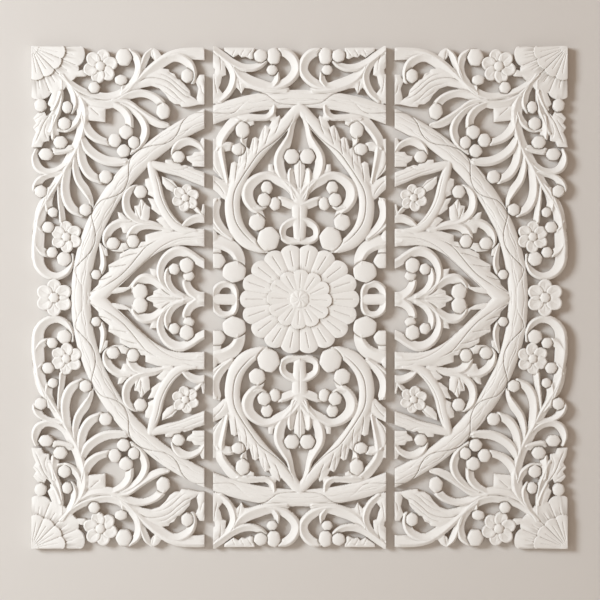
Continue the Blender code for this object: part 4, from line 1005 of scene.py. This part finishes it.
class WALLPANELS_PG_sizes(bpy.types.PropertyGroup):
    """Sizes of the boards and of their carving."""
    panel_width: bpy.props.FloatProperty(
        name="Panel width", description="Width of one board",
        default=0.3095, min=0.05, unit="LENGTH")
    panel_height: bpy.props.FloatProperty(
        name="Panel height", description="Height of the boards",
        default=0.900, min=0.1, unit="LENGTH")
    gap: bpy.props.FloatProperty(
        name="Gap", description="Space between two boards",
        default=0.0158, min=0.0, unit="LENGTH")
    thickness: bpy.props.FloatProperty(
        name="Thickness", description="From the back to the highest carving",
        default=0.020, min=0.004, unit="LENGTH")
    carving_depth: bpy.props.FloatProperty(
        name="Carving depth", description="From the highest carving to the deepest line",
        default=0.0085, min=0.001, unit="LENGTH")
    chisel_step: bpy.props.FloatProperty(
        name="Chisel step",
        description="Side of the squares the front is carved in, in sheet squares",
        default=0.5, min=0.25, max=2.0)
    facets: bpy.props.IntProperty(
        name="Facets", description="Most triangles in one board",
        default=190000, min=20000)


class WALLPANELS_PG_colours(bpy.types.PropertyGroup):
    """Colours of the paint and of the wall behind."""
    paint_hex: bpy.props.StringProperty(
        name="Paint", description="sRGB hex of the full coat", default="#F7F6F4")
    thin_hex: bpy.props.StringProperty(
        name="Thin paint", description="sRGB hex where the coat is thin", default="#F0EEEB")
    # painted shade: this colour darkens the recesses in place of the shade that falls there
    recess_shade_hex: bpy.props.StringProperty(
        name="Recess", description="sRGB hex in the deep lines", default="#A79D93")
    # partly bare wood on the back and deep sides, partly painted shade deep in the openings
    bare_and_shaded_side_hex: bpy.props.StringProperty(
        name="Sides", description="sRGB hex deep down the sawn sides and on the back",
        default="#B3A391")
    grain_hex: bpy.props.StringProperty(
        name="Grain", description="sRGB hex of the grain showing on the back", default="#86725E")
    wall_hex: bpy.props.StringProperty(
        name="Wall", description="sRGB hex of the wall", default="#DDD9D5")
    floor_hex: bpy.props.StringProperty(
        name="Floor", description="sRGB hex of the floor", default="#DEDAD4")


def scales(sizes):
    """Width of the set, and width and height of one square, in metres."""
    wide = 3 * sizes.panel_width + 2 * sizes.gap
    return wide, wide / SHEET_WIDE, sizes.panel_height / SHEET_HIGH


def drawn_quarter(step):
    """The mirrored part of the pattern, over one quarter of the sheet."""
    u_line = np.arange(-2, int(QUARTER_WIDE / step)) * step
    v_line = np.arange(-int(QUARTER_PAST / step), int(QUARTER_HIGH / step)) * step
    quarter = Carving(u_line, v_line, step)
    quarter.carve()
    return quarter


def paint():
    """The boards' one material, made on first use."""
    found = bpy.data.materials.get(PAINT_NAME)
    return found or painted_carving(bpy.context.scene.wall_panel_colours)


def carve_nodes(spans):
    """Carves a board in place of each named CAD node."""
    sizes = bpy.context.scene.wall_panel_sizes
    step = sizes.chisel_step
    scale_u, scale_v = scales(sizes)[1:]
    quarter = drawn_quarter(step)
    for node, low in spans:
        field = board_field(quarter, low / scale_u, (low + sizes.panel_width) / scale_u)
        board = carved_board(node + "_carved", field, scale_u, scale_v,
                             sizes.thickness, sizes.carving_depth, sizes.facets)
        board.data.materials.append(paint())
        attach(board, "root")
        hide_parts(node)


class WALLPANELS_OT_side_boards(bpy.types.Operator):
    """Carves the left and right boards, with the ring and the corner fans"""
    bl_idname = "wall_panels.side_boards"
    bl_label = "Side boards"

    def execute(self, context):
        sizes = context.scene.wall_panel_sizes
        wide = scales(sizes)[0]
        carve_nodes((("left_panel", -wide / 2), ("right_panel", wide / 2 - sizes.panel_width)))
        return {"FINISHED"}


class WALLPANELS_OT_centre_board(bpy.types.Operator):
    """Carves the middle board, with the rosette and the pointed arches"""
    bl_idname = "wall_panels.centre_board"
    bl_label = "Centre board"

    def execute(self, context):
        sizes = context.scene.wall_panel_sizes
        carve_nodes((("centre_panel", -sizes.panel_width / 2),))
        return {"FINISHED"}


def flat_stage(name, across, up, centre, material):
    """A flat rectangle of the stage, from its two sides and its middle."""
    bm = bmesh.new()
    bmesh.ops.create_grid(bm, x_segments=1, y_segments=1, size=0.5)
    for vert in bm.verts:
        a, b = vert.co.x, vert.co.y
        vert.co = [centre[k] + a * across[k] + b * up[k] for k in range(3)]
    mesh = bpy.data.meshes.new(name)
    bm.to_mesh(mesh)
    bm.free()
    mesh.materials.append(material)
    stage = bpy.data.objects.new(name, mesh)
    bpy.context.scene.collection.objects.link(stage)


def soft_light(name, place, size, watts, colour):
    """A square soft light, aimed at the middle of the set."""
    light = bpy.data.lights.new(name, "AREA")
    light.shape = "SQUARE"
    light.size = size
    light.energy = watts
    light.color = hex_colour(colour)[:3]
    lamp = bpy.data.objects.new(name, light)
    lamp.location = place
    aim = -Vector(place)
    lamp.rotation_euler = aim.to_track_quat("-Z", "Y").to_euler()
    bpy.context.scene.collection.objects.link(lamp)


class WALLPANELS_OT_stage(bpy.types.Operator):
    """Sets the wall, the floor, the lights and the camera"""
    bl_idname = "wall_panels.stage"
    bl_label = "Stage"

    def execute(self, context):
        colours = context.scene.wall_panel_colours
        wall = plain_plaster("flat_wall_paint", colours.wall_hex, True)
        floor = plain_plaster("pale_floor_screed", colours.floor_hex, False)
        across = (STAGE_WIDE, 0, 0)
        flat_stage("wall", across, (0, 0, WALL_HIGH),
                   (0, WALL_OFF, FLOOR_LEVEL + WALL_HIGH / 2), wall)
        flat_stage("floor", across, (0, FLOOR_DEEP, 0),
                   (0, WALL_OFF + FLOOR_LAP - FLOOR_DEEP / 2, FLOOR_LEVEL), floor)
        soft_light("window", *WINDOW)
        world = bpy.data.worlds.new("room")
        world.use_nodes = True
        glow = world.node_tree.nodes["Background"]
        glow.inputs["Color"].default_value = hex_colour(ROOM[0])
        glow.inputs["Strength"].default_value = ROOM[1]
        context.scene.world = world
        context.scene.view_settings.view_transform = "Standard"
        # straight on, so the boards fill the photo's frame as they do there
        square = scales(context.scene.wall_panel_sizes)[1]
        lens = bpy.data.cameras.new("camera")
        lens.sensor_width = SENSOR_WIDE
        lens.lens = SENSOR_WIDE * (CAMERA_AWAY - FITTED_PLANE) / (PHOTO_WIDE * square)
        camera = bpy.data.objects.new("camera", lens)
        camera.location = (PHOTO_MIDDLE[0] * square, -CAMERA_AWAY, PHOTO_MIDDLE[1] * square)
        camera.rotation_euler = (math.pi / 2, 0, 0)
        context.scene.collection.objects.link(camera)
        context.scene.camera = camera
        return {"FINISHED"}


class WALLPANELS_PT_panel(bpy.types.Panel):
    """Sizes, colours and steps of the wall panels"""
    bl_idname = "WALLPANELS_PT_panel"
    bl_label = "Wall Panels"
    bl_space_type = "VIEW_3D"
    bl_region_type = "UI"
    bl_category = "Wall Panels"

    def draw(self, context):
        for group in (context.scene.wall_panel_sizes, context.scene.wall_panel_colours):
            for key in group.__annotations__:
                self.layout.prop(group, key)
        for operator in OPERATORS:
            self.layout.operator(operator.bl_idname)


OPERATORS = (WALLPANELS_OT_side_boards, WALLPANELS_OT_centre_board, WALLPANELS_OT_stage)
CLASSES = (WALLPANELS_PG_sizes, WALLPANELS_PG_colours) + OPERATORS + (WALLPANELS_PT_panel,)


def register():
    for item in CLASSES:
        bpy.utils.register_class(item)
    bpy.types.Scene.wall_panel_sizes = bpy.props.PointerProperty(type=WALLPANELS_PG_sizes)
    bpy.types.Scene.wall_panel_colours = bpy.props.PointerProperty(type=WALLPANELS_PG_colours)


def unregister():
    del bpy.types.Scene.wall_panel_sizes
    del bpy.types.Scene.wall_panel_colours
    for item in reversed(CLASSES):
        bpy.utils.unregister_class(item)


def main():
    """Makes the set and its stage."""
    register()
    bpy.ops.wall_panels.side_boards()
    bpy.ops.wall_panels.centre_board()
    bpy.ops.wall_panels.stage()


if __name__ == "__main__":
    main()
